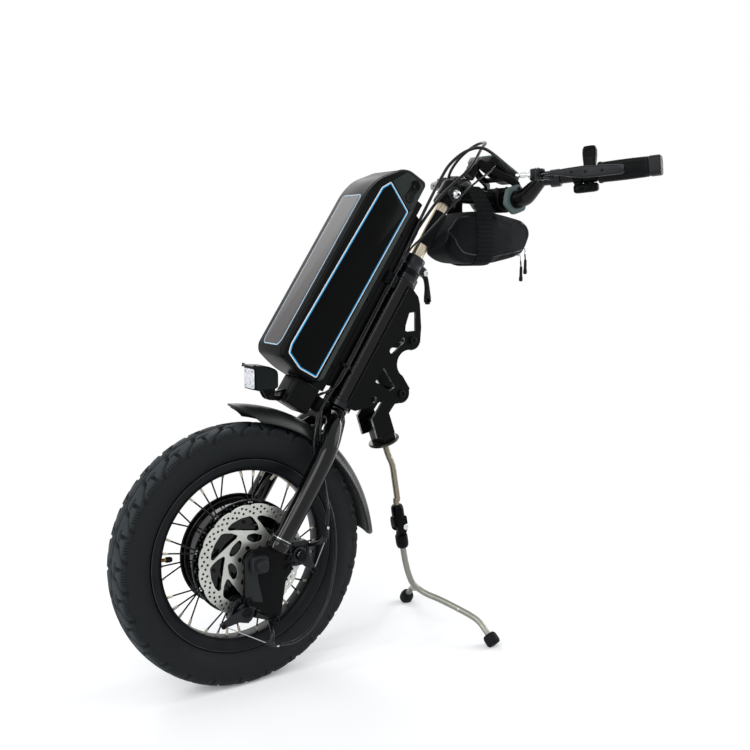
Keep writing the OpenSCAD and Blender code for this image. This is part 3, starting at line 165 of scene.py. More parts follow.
def block(x, y, z, edge=1.5, segments=3):
    bm = bmesh.new()
    bmesh.ops.create_cube(bm, size=1)
    bmesh.ops.scale(bm, vec=(x, y, z), verts=bm.verts)
    bmesh.ops.bevel(bm, geom=bm.edges[:], offset=edge, offset_type="OFFSET", affect="EDGES",
                    segments=segments, profile=0.5, material=-1)
    return bm


def from_curve(curve):
    holder = bpy.data.objects.new("line", curve)
    mesh = bpy.data.meshes.new_from_object(holder)
    bm = bmesh.new()
    bm.from_mesh(mesh)
    bpy.data.objects.remove(holder)
    bpy.data.curves.remove(curve)
    bpy.data.meshes.remove(mesh)
    bmesh.ops.remove_doubles(bm, verts=bm.verts, dist=0.0005)
    return bm


def flat(outlines, thickness, edge=0.6, edge_steps=2, inset=0.0):
    """The first outline less the others, extruded both ways from its plane with rounded edges."""
    curve = bpy.data.curves.new("flat", "CURVE")
    curve.dimensions = "2D"
    curve.fill_mode = "BOTH"
    curve.extrude = thickness / 2 - edge
    curve.bevel_depth = edge
    curve.bevel_resolution = edge_steps
    curve.offset = -edge - inset
    for outline in outlines:
        spline = curve.splines.new("POLY")
        spline.points.add(len(outline) - 1)
        for point, spot in zip(spline.points, outline):
            point.co = (spot[0], spot[1], 0, 1)
        spline.use_cyclic_u = True
    return from_curve(curve)


def tube(points, radius, sides=16, radii=None, closed=False):
    """A round bar along the points. radii are shares of the radius."""
    curve = bpy.data.curves.new("tube", "CURVE")
    curve.dimensions = "3D"
    curve.bevel_depth = radius
    curve.bevel_resolution = sides // 2 - 2
    curve.use_fill_caps = not closed
    spline = curve.splines.new("POLY")
    spline.points.add(len(points) - 1)
    for i, spot in enumerate(points):
        spline.points[i].co = (spot[0], spot[1], spot[2], 1)
        spline.points[i].radius = radii[i] if radii else 1
    spline.use_cyclic_u = closed
    return from_curve(curve)


def rod(start, end, radius, end_radius=None, sides=12):
    bm = bmesh.new()
    start = Vector(start)
    along = Vector(end) - start
    top = radius if end_radius is None else end_radius
    bmesh.ops.create_cone(bm, cap_ends=True, segments=sides, radius1=radius, radius2=top,
                          depth=along.length)
    bm.transform(Matrix.Translation(start + along / 2) @ along.to_track_quat("Z", "Y").to_matrix().to_4x4())
    return bm


def ball(radius, squash=1.0, sides=16):
    bm = bmesh.new()
    bmesh.ops.create_uvsphere(bm, u_segments=sides, v_segments=sides // 2, radius=radius)
    bmesh.ops.scale(bm, vec=(1, 1, squash), verts=bm.verts)
    return bm


def loft(rings):
    """Rings of points joined into one closed skin."""
    bm = bmesh.new()
    loops = []
    for ring in rings:
        verts = [bm.verts.new(p) for p in ring]
        loops.append((verts, [bm.edges.new((verts[i - 1], verts[i])) for i in range(len(verts))]))
    for first, second in zip(loops, loops[1:]):
        bmesh.ops.bridge_loops(bm, edges=first[1] + second[1])
    bm.faces.new(loops[0][0])
    bm.faces.new(loops[-1][0])
    return bm


def ribbon(points, up, half_thick, half_heights, corner=0.45):
    """Rounded rectangles set across a line, for blades and straps."""
    points = [Vector(p) for p in points]
    up = Vector(up)
    rings = []
    for i, spot in enumerate(points):
        along = (points[min(i + 1, len(points) - 1)] - points[max(i - 1, 0)]).normalized()
        across = along.cross(up).normalized()
        tall = across.cross(along).normalized()
        height = half_heights[i]
        outline = [(half_thick, height), (-half_thick, height), (-half_thick, -height), (half_thick, -height)]
        soft = rounded(outline, 2 * corner * half_thick + 0.01, 3)
        rings.append([spot + across * p[0] + tall * p[1] for p in soft])
    return loft(rings)


class Form:
    """One piece under construction, in millimetres, with a finish for each shape in it."""

    def __init__(self):
        self.bm = bmesh.new()
        self.finishes = []

    def join(self, shape, finish, at=None):
        if finish not in self.finishes:
            self.finishes.append(finish)
        bmesh.ops.recalc_face_normals(shape, faces=shape.faces)
        if at is not None:
            shape.transform(at)
            if at.determinant() < 0:
                bmesh.ops.reverse_faces(shape, faces=shape.faces)
        for face in shape.faces:
            face.material_index = self.finishes.index(finish)
            face.smooth = True
        mesh = bpy.data.meshes.new("shape")
        shape.to_mesh(mesh)
        shape.free()
        self.bm.from_mesh(mesh)
        bpy.data.meshes.remove(mesh)

    def screw(self, at, radius=5.0, height=4.0, finish="black_steel"):
        """A socket-head screw, its head on the plane z = 0."""
        hollow = 0.55 * radius
        head = rounded([(0, 0), (radius, 0), (radius, height), (hollow, height)], 0.7, 3, closed=False)
        self.join(lathe(head + [Vector((hollow, 0.45 * height)), Vector((0, 0.4 * height))], 20), finish, at)

    def done(self, name, body, replaces=(), angle=38):
        self.bm.transform(Matrix.Scale(MM, 4))
        mesh = bpy.data.meshes.new(name)
        self.bm.to_mesh(mesh)
        self.bm.free()
        for finish in self.finishes:
            mesh.materials.append(FINISHES[finish])
        mesh.set_sharp_from_angle(angle=math.radians(angle))
        piece = bpy.data.objects.new(name, mesh)
        bpy.context.scene.collection.objects.link(piece)
        if body:
            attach(piece, body)
        if replaces:
            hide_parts(*replaces)
        return piece


# Finishes
def ink(code):
    """A linear colour from a web colour."""
    parts = [int(code[k:k + 2], 16) / 255 for k in (1, 3, 5)]
    return tuple(c / 12.92 if c < 0.04045 else ((c + 0.055) / 1.055) ** 2.4 for c in parts)


def shade(colour, level):
    return tuple(c * level for c in colour[:3]) + (1.0,)


class Value:
    """A socket that takes part in arithmetic."""

    def __init__(self, paint, socket):
        self.paint = paint
        self.socket = socket

    def maths(self, operation, *others):
        inputs = dict(enumerate((self,) + others))
        return self.paint.node("ShaderNodeMath", {"operation": operation}, inputs)

    def __add__(self, other):
        return self.maths("ADD", other)

    def __sub__(self, other):
        return self.maths("SUBTRACT", other)

    def __rsub__(self, other):
        return self.paint.node("ShaderNodeMath", {"operation": "SUBTRACT"}, {0: other, 1: self})

    def __mul__(self, other):
        return self.maths("MULTIPLY", other)

    __radd__ = __add__
    __rmul__ = __mul__


class Paint:
    """A material, the nodes in it and its shader."""

    def __init__(self, name):
        self.material = bpy.data.materials.new(name)
        self.material.use_nodes = True
        self.tree = self.material.node_tree
        self.tree.nodes.clear()
        self.shader = self.tree.nodes.new("ShaderNodeBsdfPrincipled")
        output = self.tree.nodes.new("ShaderNodeOutputMaterial")
        self.tree.links.new(self.shader.outputs[0], output.inputs[0])
        self.where = self.node("ShaderNodeTexCoord", output="Object")

    def feed(self, socket, value):
        if isinstance(value, Value):
            self.tree.links.new(value.socket, socket)
        else:
            socket.default_value = value

    def node(self, kind, settings=None, inputs=None, output=0):
        node = self.tree.nodes.new(kind)
        for key, value in (settings or {}).items():
            if key == "stops":
                while len(node.color_ramp.elements) < len(value):
                    node.color_ramp.elements.new(0.5)
                for element, (spot, colour) in zip(node.color_ramp.elements, value):
                    element.position = spot
                    element.color = colour
            else:
                setattr(node, key, value)
        for key, value in (inputs or {}).items():
            self.feed(node.inputs[key], value)
        return Value(self, node.outputs[output])

    def set(self, **sockets):
        for key, value in sockets.items():
            self.feed(self.shader.inputs[key.replace("_", " ")], value)

    def noise(self, scale, detail=3.0, at=None):
        return self.node("ShaderNodeTexNoise", {}, {"Vector": at or self.where, "Scale": scale,
                                                    "Detail": detail})

    def wave(self, scale, direction, shape="SIN", at=None, distortion=0.0):
        settings = {"bands_direction": direction, "wave_profile": shape}
        inputs = {"Vector": at or self.where, "Scale": scale, "Distortion": distortion}
        return self.node("ShaderNodeTexWave", settings, inputs, "Fac")

    def stretch(self, x, y, z, turned=(0, 0, 0)):
        return self.node("ShaderNodeMapping", {}, {"Vector": self.where, "Scale": (x, y, z),
                                                   "Rotation": turned})

    def spread(self, value, low, high, to_low=0.0, to_high=1.0):
        return self.node("ShaderNodeMapRange", {}, {"Value": value, "From Min": low, "From Max": high,
                                                    "To Min": to_low, "To Max": to_high})

    def blend(self, mask, first, second):
        return self.node("ShaderNodeMix", {"data_type": "RGBA"}, {0: mask, 6: first, 7: second}, 2)

    def bump(self, height, distance, strength=1.0):
        return self.node("ShaderNodeBump", {}, {"Height": height, "Distance": distance,
                                                "Strength": strength})

    def axis(self, name):
        return self.node("ShaderNodeSeparateXYZ", {}, {0: self.where}, name)

    def facing(self, name):
        normal = self.node("ShaderNodeTexCoord", output="Normal")
        return self.node("ShaderNodeSeparateXYZ", {}, {0: normal}, name)


FINISHES = {}


def coated(name, colour, roughness, grain=900, depth=0.00006, cloud=26, vary=0.18, coat=0.0, metallic=0.0,
           shine=0.12):
    """Paint, plastic or metal with a fine grain, clouded colour and rubbed gloss."""
    paint = Paint(name)
    wide = paint.spread(paint.noise(cloud, 4), 0.32, 0.68)
    fine = paint.noise(grain, 2)
    paint.set(Base_Color=paint.blend(wide, shade(colour, 1 - vary), shade(colour, 1 + vary)))
    paint.set(Roughness=roughness + (wide - 0.5) * 0.08 + (fine - 0.5) * 0.1)
    paint.set(Metallic=metallic, Coat_Weight=coat, Coat_Roughness=0.04, Specular_IOR_Level=shine)
    paint.set(Normal=paint.bump(fine, depth, 0.6))
    FINISHES[name] = paint.material


def brushed(name, colour, roughness, stretch, vary=0.1):
    """Metal with fine lines along one direction."""
    paint = Paint(name)
    lines = paint.noise(60, 3, paint.stretch(*stretch))
    wide = paint.spread(paint.noise(18, 3), 0.3, 0.7)
    paint.set(Base_Color=paint.blend(wide, shade(colour, 1 - vary), shade(colour, 1 + vary)))
    paint.set(Roughness=roughness + (lines - 0.5) * 0.22, Metallic=1.0)
    paint.set(Normal=paint.bump(lines, 0.00005, 0.5))
    FINISHES[name] = paint.material


def tread_rubber(name, colour, repeats):
    """Dusty rubber with a fine grain and rows of sipes on the shoulders; painted shade darkens its grooves and sipes,
    and a painted highlight lightens its tread tops and groove edges.
    """
    paint = Paint(name)
    across = paint.axis("Y")
    x = paint.axis("X")
    z = paint.axis("Z") - AXLE_HEIGHT * MM
    radius = (x * x + z * z).maths("SQRT")
    angle = z.maths("ARCTAN2", x)
    ticks = (angle * 300).maths("SINE").maths("GREATER_THAN", 0.2)
    side = across.maths("ABSOLUTE")
    shoulder = side.maths("GREATER_THAN", 0.0225) * side.maths("LESS_THAN", 0.0297)
    band = radius.maths("GREATER_THAN", 0.2005) * radius.maths("LESS_THAN", 0.2085)
    patch = (angle * repeats - 1.2).maths("SINE").maths("GREATER_THAN", 0.0)
    sipes = ticks * shoulder * band * patch
    ribs = (radius * 3600).maths("SINE") * radius.maths("LESS_THAN", 0.172)
    deep = paint.node("ShaderNodeAttribute", {"attribute_name": "cut"}, {}, "Fac")
    # painted highlight: the tread's outer face is painted lighter
    top = paint.spread(radius, 0.2, 0.209)
    # painted highlight: the edges of the grooves, where they are partly cut
    groove_edge_highlight = paint.spread((deep - 0.3).maths("ABSOLUTE"), 0.3, 0.0)
    dots = (angle * 170).maths("SINE") * radius.maths("GREATER_THAN", 0.1905) * radius.maths("LESS_THAN", 0.1945)
    dust = paint.spread(paint.noise(34, 5), 0.35, 0.7)
    grain = paint.noise(1300, 2)
    wall = paint.blend(dust, shade(colour, 0.6), shade(colour, 0.85))
    # painted highlight: the tread tops are painted lighter than the dusty wall, and the groove edges brighter still
    painted_lit_tread = paint.blend(top, wall, shade(colour, 2.5))
    painted_lit_tread = paint.blend(groove_edge_highlight * 0.4, painted_lit_tread, shade(colour, 4.5))
    # painted shade: the grooves and the sipes are painted nearly black
    paint.set(Base_Color=paint.blend((sipes * 0.9).maths("MAXIMUM", deep), painted_lit_tread, shade(colour, 0.06)))
    paint.set(Roughness=0.62 + dust * 0.14 + (grain - 0.5) * 0.1, Specular_IOR_Level=0.2)
    paint.set(Normal=paint.bump(grain * 0.12 + ribs * 0.1 + dots * 0.2 - sipes * 0.9, 0.0009, 0.8))
    FINISHES[name] = paint.material


def turned_steel(name, colour):
    """Ground steel with rings about the axle."""
    paint = Paint(name)
    x = paint.axis("X")
    z = paint.axis("Z") - AXLE_HEIGHT * MM
    radius = (x * x + z * z).maths("SQRT")
    rings = paint.node("ShaderNodeTexNoise", {"noise_dimensions": "1D"},
                       {"W": radius, "Scale": 1900.0, "Detail": 3.0})
    wide = paint.spread(paint.noise(30, 3), 0.3, 0.7)
    paint.set(Base_Color=paint.blend(wide, shade(colour, 0.88), shade(colour, 1.06)))
    paint.set(Roughness=0.36 + (rings - 0.5) * 0.24, Metallic=0.85)
    paint.set(Normal=paint.bump(rings, 0.00006, 0.5))
    FINISHES[name] = paint.material


def cut_plate(name, colour, edge):
    """Satin black plate whose cut edges show bright metal."""
    paint = Paint(name)
    flatness = paint.facing("Y").maths("ABSOLUTE")
    cut = paint.spread(flatness, 0.75, 0.35)
    fine = paint.noise(1100, 2)
    scuff = paint.spread(paint.noise(90, 4), 0.45, 0.6)
    face = paint.blend(paint.spread(paint.noise(24, 4), 0.3, 0.7), shade(colour, 0.8), shade(colour, 1.2))
    paint.set(Base_Color=paint.blend(cut * (0.25 + scuff * 0.4), face, shade(edge, 1)))
    paint.set(Roughness=0.46 - cut * 0.14 + (fine - 0.5) * 0.14)
    paint.set(Metallic=cut * 0.6, Specular_IOR_Level=0.06)
    paint.set(Normal=paint.bump(fine, 0.00006, 0.6))
    FINISHES[name] = paint.material


def woven(name, colour, pitch, rib=0.5):
    """Plain-weave cloth; its raised threads are painted lighter as a painted highlight."""
    paint = Paint(name)
    scale = 0.314 / pitch
    warp = paint.wave(scale, "X")
    weft = paint.wave(scale, "Z")
    weave = warp * (1 - weft) + weft * (1 - warp) * rib
    fold = paint.spread(paint.noise(22, 4), 0.3, 0.7)
    fluff = paint.noise(1500, 2)
    cloth = paint.blend(fold, shade(colour, 0.72), shade(colour, 1.3))
    # painted highlight: the raised threads of the weave are painted lighter
    paint.set(Base_Color=paint.blend(weave * 0.5, cloth, shade(colour, 1.6)))
    paint.set(Roughness=0.8 + (fluff - 0.5) * 0.15)
    paint.set(Sheen_Weight=0.05, Sheen_Roughness=0.5, Specular_IOR_Level=0.08)
    paint.set(Normal=paint.bump(weave * 0.7 + fluff * 0.3, 0.0005, 0.7))
    FINISHES[name] = paint.material


def stitched_webbing(name, colour, thread):
    """Ribbed strap with zig-zag stitching; the ribs' ridges are painted lighter as a painted highlight."""
    paint = Paint(name)
    ribs = paint.wave(0.314 / 0.0016, "Z")
    zig = paint.wave(0.314 / 0.0075, "X", "TRI")
    height = paint.axis("Z") * 125 + zig * 0.55
    row = height.maths("FRACT")
    seam = row.maths("GREATER_THAN", 0.42) * row.maths("LESS_THAN", 0.6)
    fluff = paint.noise(1400, 2)
    # painted highlight: the ridges of the ribs are painted lighter
    cloth = paint.blend(ribs * 0.6, shade(colour, 0.75), shade(colour, 1.35))
    paint.set(Base_Color=paint.blend(seam * 0.5, cloth, shade(thread, 1)))
    paint.set(Roughness=0.82 + (fluff - 0.5) * 0.12, Specular_IOR_Level=0.08)
    paint.set(Normal=paint.bump(ribs * 0.4 + seam * 0.5 + fluff * 0.2, 0.0005, 0.8))
    FINISHES[name] = paint.material


def clear_lens(name, colour):
    """Faceted clear lens over a pale reflector."""
    paint = Paint(name)
    cells = paint.node("ShaderNodeTexVoronoi", {"feature": "F1"}, {"Vector": paint.where, "Scale": 190.0})
    glow = paint.spread(cells, 0.1, 0.75)
    paint.set(Base_Color=paint.blend(glow, shade(colour, 1.0), shade(colour, 0.62)))
    paint.set(Roughness=0.07 + glow * 0.12, Coat_Weight=1.0, Coat_Roughness=0.02)
    paint.set(Normal=paint.bump(cells, 0.0009, 0.5))
    FINISHES[name] = paint.material


def panel_grey(name, colour):
    """Warm grey printed panel with a painted highlight: it is painted lighter towards its foot."""
    paint = Paint(name)
    # painted highlight: lighter towards the foot of the panel
    height = paint.spread(paint.axis("Z"), 0.56, 0.82)
    fine = paint.noise(1200, 2)
    paint.set(Base_Color=paint.blend(height, shade(colour, 1.25), shade(colour, 0.72)))
    paint.set(Roughness=0.42 + (fine - 0.5) * 0.1, Metallic=0.15)
    paint.set(Normal=paint.bump(fine, 0.00004, 0.5))
    FINISHES[name] = paint.material


# Settings that a user may change
class PowerAssistSettings(bpy.types.PropertyGroup):
    """Sizes, counts and colours of the visible pieces."""

    tread_repeats: IntProperty(name="Tread repeats", description="Tread blocks round the tyre",
                               default=27, min=12, max=40)
    tread_depth: FloatProperty(name="Tread depth", description="Depth of the tread's grooves",
                               default=0.0042, min=0.001, max=0.007, unit="LENGTH")
    spoke_count: IntProperty(name="Spokes", description="Spokes in the wheel", default=36, min=12, max=48)
    rotor_hole: FloatProperty(name="Rotor hole", description="Width of each drilled hole in the rotor",
                              default=0.0041, min=0.002, max=0.005, unit="LENGTH")
    grip_ribs: IntProperty(name="Grip ribs", description="Ribs along each grip", default=22, min=4, max=40)
    bag_swell: FloatProperty(name="Bag swell", description="Most that the bag's cloth may move outwards",
                             default=0.007, min=0, max=0.02, unit="LENGTH")
    black: FloatVectorProperty(name="Black", description="Paint of the frame", subtype="COLOR",
                               default=ink("#08090a"), min=0, max=1)
    rubber: FloatVectorProperty(name="Rubber", description="Tyre", subtype="COLOR",
                                default=ink("#181c1e"), min=0, max=1)
    cloth: FloatVectorProperty(name="Cloth", description="Bag", subtype="COLOR",
                               default=ink("#0e1012"), min=0, max=1)
    line_blue: FloatVectorProperty(name="Blue line", description="Outline of the battery's side panels",
                                   subtype="COLOR", default=ink("#1ba0dd"), min=0, max=1)
    teal: FloatVectorProperty(name="Teal", description="Display trim and clamps", subtype="COLOR",
                              default=ink("#576765"), min=0, max=1)


class POWERASSIST_OT_finishes(bpy.types.Operator):
    """Makes the finishes and gives the frame's own parts theirs"""

    bl_idname = "power_assist.finishes"
    bl_label = "Finishes"

    def execute(self, context):
        chosen = context.scene.power_assist
        coated("satin_black", chosen.black, 0.36, vary=0.15, shine=0.08)
        coated("gloss_black", ink("#030405"), 0.07, 500, 0.00002, vary=0.1, shine=0.28)
        coated("dark_alloy", ink("#1e2023"), 0.27, 1200, 0.00004, metallic=0.6, shine=0.4)
        brushed("silver_alloy", ink("#c9cccd"), 0.27, (1, 1, 12))
        brushed("champagne_alloy", ink("#b8ae9b"), 0.34, (1, 1, 10))
        brushed("warm_grey_metal", ink("#7d776a"), 0.32, (6, 6, 1))
        brushed("tube_silver", ink("#87877f"), 0.4, (1, 1, 8))
        turned_steel("rotor_steel", ink("#c6c8c2"))
        brushed("plain_steel", ink("#a9acae"), 0.3, (4, 4, 4))
        coated("black_steel", ink("#141517"), 0.34, 1300, metallic=0.5)
        coated("rim_grey", ink("#1a1c1e"), 0.36, 1000, metallic=0.35)
        tread_rubber("tyre_rubber", chosen.rubber, chosen.tread_repeats)
        coated("black_rubber", ink("#0f1011"), 0.6, 1500, 0.00018)
        coated("cable_black", ink("#101113"), 0.3, 700, 0.00002, coat=0.3)
        brushed("valve_brass", ink("#b08d45"), 0.3, (3, 3, 3))
        coated("satin_plastic", ink("#090a0b"), 0.38, 1600, 0.00008, shine=0.07)
        coated("guard_plastic", ink("#161918"), 0.36, 1500, 0.00008, shine=0.3)
        coated("gloss_plastic", ink("#030405"), 0.16, 400, 0.00002, shine=0.06)
        coated("teal_plastic", chosen.teal, 0.4, 1300, 0.00005)
        clear_lens("lens_clear", ink("#eef2f6"))
        woven("bag_fabric", chosen.cloth, 0.0016)
        stitched_webbing("strap_webbing", ink("#0f1011"), ink("#2b2f33"))
        coated("cell_wrap", ink("#3f6ea8"), 0.4)
        coated("winding", ink("#7a4a2a"), 0.35, 300, 0.0003, metallic=0.7)
        coated("pad_lining", ink("#5b4b3a"), 0.85, 700, 0.0002)
        cut_plate("cut_plate", chosen.black, ink("#b9bcbd"))
        coated("line_white", ink("#e9eef1"), 0.4, 900, 0.00002, vary=0.03)
        coated("line_blue", chosen.line_blue, 0.4, 900, 0.00002, vary=0.06)
        coated("line_pale", ink("#b4cde0"), 0.4, 900, 0.00002, vary=0.05)
        panel_grey("panel_grey", ink("#3b3839"))
        coated("corner_green", ink("#262e2c"), 0.42, 1400, 0.0001)
        coated("edge_grey", ink("#353c3a"), 0.42, 1400, 0.0001)
        coated("screen_glass", ink("#8b9696"), 0.08, 300, 0.00001, coat=1.0)
        coated("gunmetal", ink("#45484a"), 0.3, 900, 0.00003, metallic=0.7)
        coated("dish_dark", ink("#2b2927"), 0.2, 900, 0.00003, metallic=0.6, shine=0.5)
        coated("tube_black", ink("#060607"), 0.22, 900, 0.00003, shine=0.22)
        coated("piping", ink("#1a1c1e"), 0.4, 1400, 0.0001, shine=0.3)
        coated("flange_grey", ink("#1b1f20"), 0.42, 1500, 0.0001, shine=0.2)
        coated("cap_rubber", ink("#191c1e"), 0.5, 1500, 0.00014, shine=0.2)
        coated("lamp_black", ink("#101516"), 0.4, 1500, 0.00008)
        coated("nipple_cream", ink("#b9b2a4"), 0.35, 900, metallic=0.5, shine=0.4)
        coated("spoke_black", ink("#151618"), 0.3, 900, metallic=0.6)
        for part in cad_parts.values():
            for place_for in part.material_slots:
                wanted = place_for.material.name.split(".")[0] if place_for.material else ""
                place_for.material = FINISHES.get(wanted, FINISHES["satin_black"])
        for name in ("dock_plate_left", "dock_plate_right"):
            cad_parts[name].material_slots[0].material = FINISHES["cut_plate"]
        return {"FINISHED"}


class POWERASSIST_OT_stage(bpy.types.Operator):
    """Sets the camera, the pale floor and the soft light"""

    bl_idname = "power_assist.stage"
    bl_label = "Stage"

    def execute(self, context):
        scene = context.scene
        scene.view_settings.view_transform = "Standard"
        camera = bpy.data.objects.new("camera", bpy.data.cameras.new("camera"))
        camera.data.lens = 45.6
        camera.data.sensor_width = 36
        camera.data.clip_end = 60
        camera.location = (-0.6508, -1.3679, 0.7018)
        aim = Vector((0.265, 0, 0.488)) - camera.location
        camera.rotation_euler = aim.to_track_quat("-Z", "Y").to_euler()
        scene.collection.objects.link(camera)
        scene.camera = camera

        lamps = (
            ("key_light", (-1.9, -1.7, 2.3), 1.7, 1.7, 34),
            ("side_light", (2.2, -1.2, 1.5), 1.5, 1.5, 14),
            ("back_light", (0.6, 2.4, 2.0), 1.8, 1.8, 24),
            ("left_strip", (-2.1, -0.2, 0.9), 0.12, 1.8, 20),
            ("right_strip", (2.3, -0.3, 0.9), 0.12, 1.8, 15),
        )
        for name, spot, size, height, power in lamps:
            lamp = bpy.data.lights.new(name, "AREA")
            lamp.shape = "RECTANGLE"
            lamp.size = size
            lamp.size_y = height
            lamp.energy = power
            holder = bpy.data.objects.new(name, lamp)
            holder.location = spot
            facing = Vector((0.25, 0, 0.45)) - holder.location
            holder.rotation_euler = facing.to_track_quat("-Z", "Y").to_euler()
            scene.collection.objects.link(holder)

        world = scene.world or bpy.data.worlds.new("studio")
        scene.world = world
        world.use_nodes = True
        tree = world.node_tree
        tree.nodes.clear()
        path = tree.nodes.new("ShaderNodeLightPath")
        seen = tree.nodes.new("ShaderNodeMath")
        seen.operation = "MAXIMUM"
        through = tree.nodes.new("ShaderNodeMath")
        through.operation = "MAXIMUM"
        tree.links.new(path.outputs["Is Camera Ray"], seen.inputs[0])
        tree.links.new(path.outputs["Is Glossy Ray"], seen.inputs[1])
        tree.links.new(seen.outputs[0], through.inputs[0])
        tree.links.new(path.outputs["Is Transmission Ray"], through.inputs[1])
        dim = tree.nodes.new("ShaderNodeBackground")
        dim.inputs["Color"].default_value = (0.93, 0.96, 1.0, 1)
        dim.inputs["Strength"].default_value = 0.5
        white = tree.nodes.new("ShaderNodeBackground")
        white.inputs["Color"].default_value = (1, 1, 1, 1)
        white.inputs["Strength"].default_value = 1.0
        choose = tree.nodes.new("ShaderNodeMixShader")
        tree.links.new(through.outputs[0], choose.inputs[0])
        tree.links.new(dim.outputs[0], choose.inputs[1])
        tree.links.new(white.outputs[0], choose.inputs[2])
        output = tree.nodes.new("ShaderNodeOutputWorld")
        tree.links.new(choose.outputs[0], output.inputs[0])

        bm = bmesh.new()
        bmesh.ops.create_circle(bm, cap_ends=True, segments=64, radius=2.4)
        mesh = bpy.data.meshes.new("floor")
        bm.to_mesh(mesh)
        bm.free()
        floor = bpy.data.objects.new("floor", mesh)
        scene.collection.objects.link(floor)
        paint = Paint("floor_white")
        x = paint.axis("X") - 0.15
        y = paint.axis("Y")
        reach = (x * x + y * y).maths("SQRT")
        seen = paint.node("ShaderNodeLightPath", output="Is Camera Ray")
        for ray in ("Is Glossy Ray", "Is Transmission Ray"):
            seen = seen.maths("MAXIMUM", paint.node("ShaderNodeLightPath", output=ray))
        paint.set(Base_Color=(0.92, 0.92, 0.92, 1), Roughness=0.9, Specular_IOR_Level=0.0)
        paint.set(Emission_Color=seen * 0.16, Emission_Strength=1.0)
        paint.set(Alpha=paint.spread(reach, 1.1, 0.35))
        mesh.materials.append(paint.material)
        return {"FINISHED"}


class POWERASSIST_OT_tyre(bpy.types.Operator):
    """Builds the tyre with its carved tread"""

    bl_idname = "power_assist.tyre"
    bl_label = "Tyre"

    @staticmethod
    def groove(phase, side):
        """How far the tread is cut there, from 0 to 1: a long S, a short bar across and a dash on it."""

        def line(offset, width):
            gap = abs((offset + 0.5) % 1.0 - 0.5)
            return min(max(2.6 * (1 - gap / width), 0), 1)

        sweep = 0.9 * side + 0.13 * math.sin(math.tau * side)
        cut = line(phase - sweep, 0.085)
        if 0.44 < side < 0.98:
            cut = max(cut, line(phase - 1.14, 0.07))
        dash = min(max(1.8 * (1 - abs(side - 0.56) / 0.075), 0), 1)
        if abs((phase - 1.14 + 0.5) % 1.0 - 0.5) < 0.2:
            cut = max(cut, dash)
        middle = min(max(1.8 * (1 - abs(side - 0.12) / 0.06), 0), 1)
        return max(cut, 0.8 * middle)

    def execute(self, context):
        chosen = context.scene.power_assist
        wall = [(158.6, 14.5), (159.4, 18), (162, 21.5), (166, 25), (171, 28.2), (177, 30.4), (184, 31),
                (190, 30.6), (195, 29.8), (198, 28.9), (200.5, 28.3), (203, 28.1), (205.5, 27.9),
                (208, 27.4), (210, 26.5), (211.4, 25.2)]
        crown = [(125 + math.sqrt(8100 - z * z), z) for z in [24 - 1.5 * k for k in range(33)]]
        profile = wall + crown + [(r, -z) for r, z in reversed(wall)]
        repeats = chosen.tread_repeats
        bm = lathe(profile, repeats * 32)
        depth = chosen.tread_depth / MM
        cut_layer = bm.verts.layers.float.new("cut")
        for vert in bm.verts:
            radius = math.hypot(vert.co.x, vert.co.y)
            if radius < 196:
                continue
            phase = math.atan2(vert.co.y, vert.co.x) / math.tau * repeats
            side = abs(vert.co.z) / 28
            if vert.co.z < 0:
                phase = 0.5 - phase
            groove = self.groove(phase, side) * min(max((radius - 197.5) / 3, 0), 1)
            lean = min(max((side - 0.82) / 0.16, 0), 1)
            scallop = min(max((radius - 198.4 - 1.6 * math.cos(math.tau * phase)) / 1.2, 0), 1)
            ledge = 0.9 * scallop * lean
            inward = radius - depth * groove * (1 - 0.6 * lean)
            vert.co.z += math.copysign(ledge - depth * 0.7 * groove * lean, vert.co.z)
            vert.co.x *= inward / radius
            vert.co.y *= inward / radius
            # the groove amount, which the tyre's finish also uses for painted shade in the grooves and a painted
            # highlight on their edges
            vert[cut_layer] = groove
        form = Form()
        form.join(bm, "tyre_rubber", WHEEL)
        form.done("tyre_tread", "wheel", ["tyre"], 60)
        return {"FINISHED"}


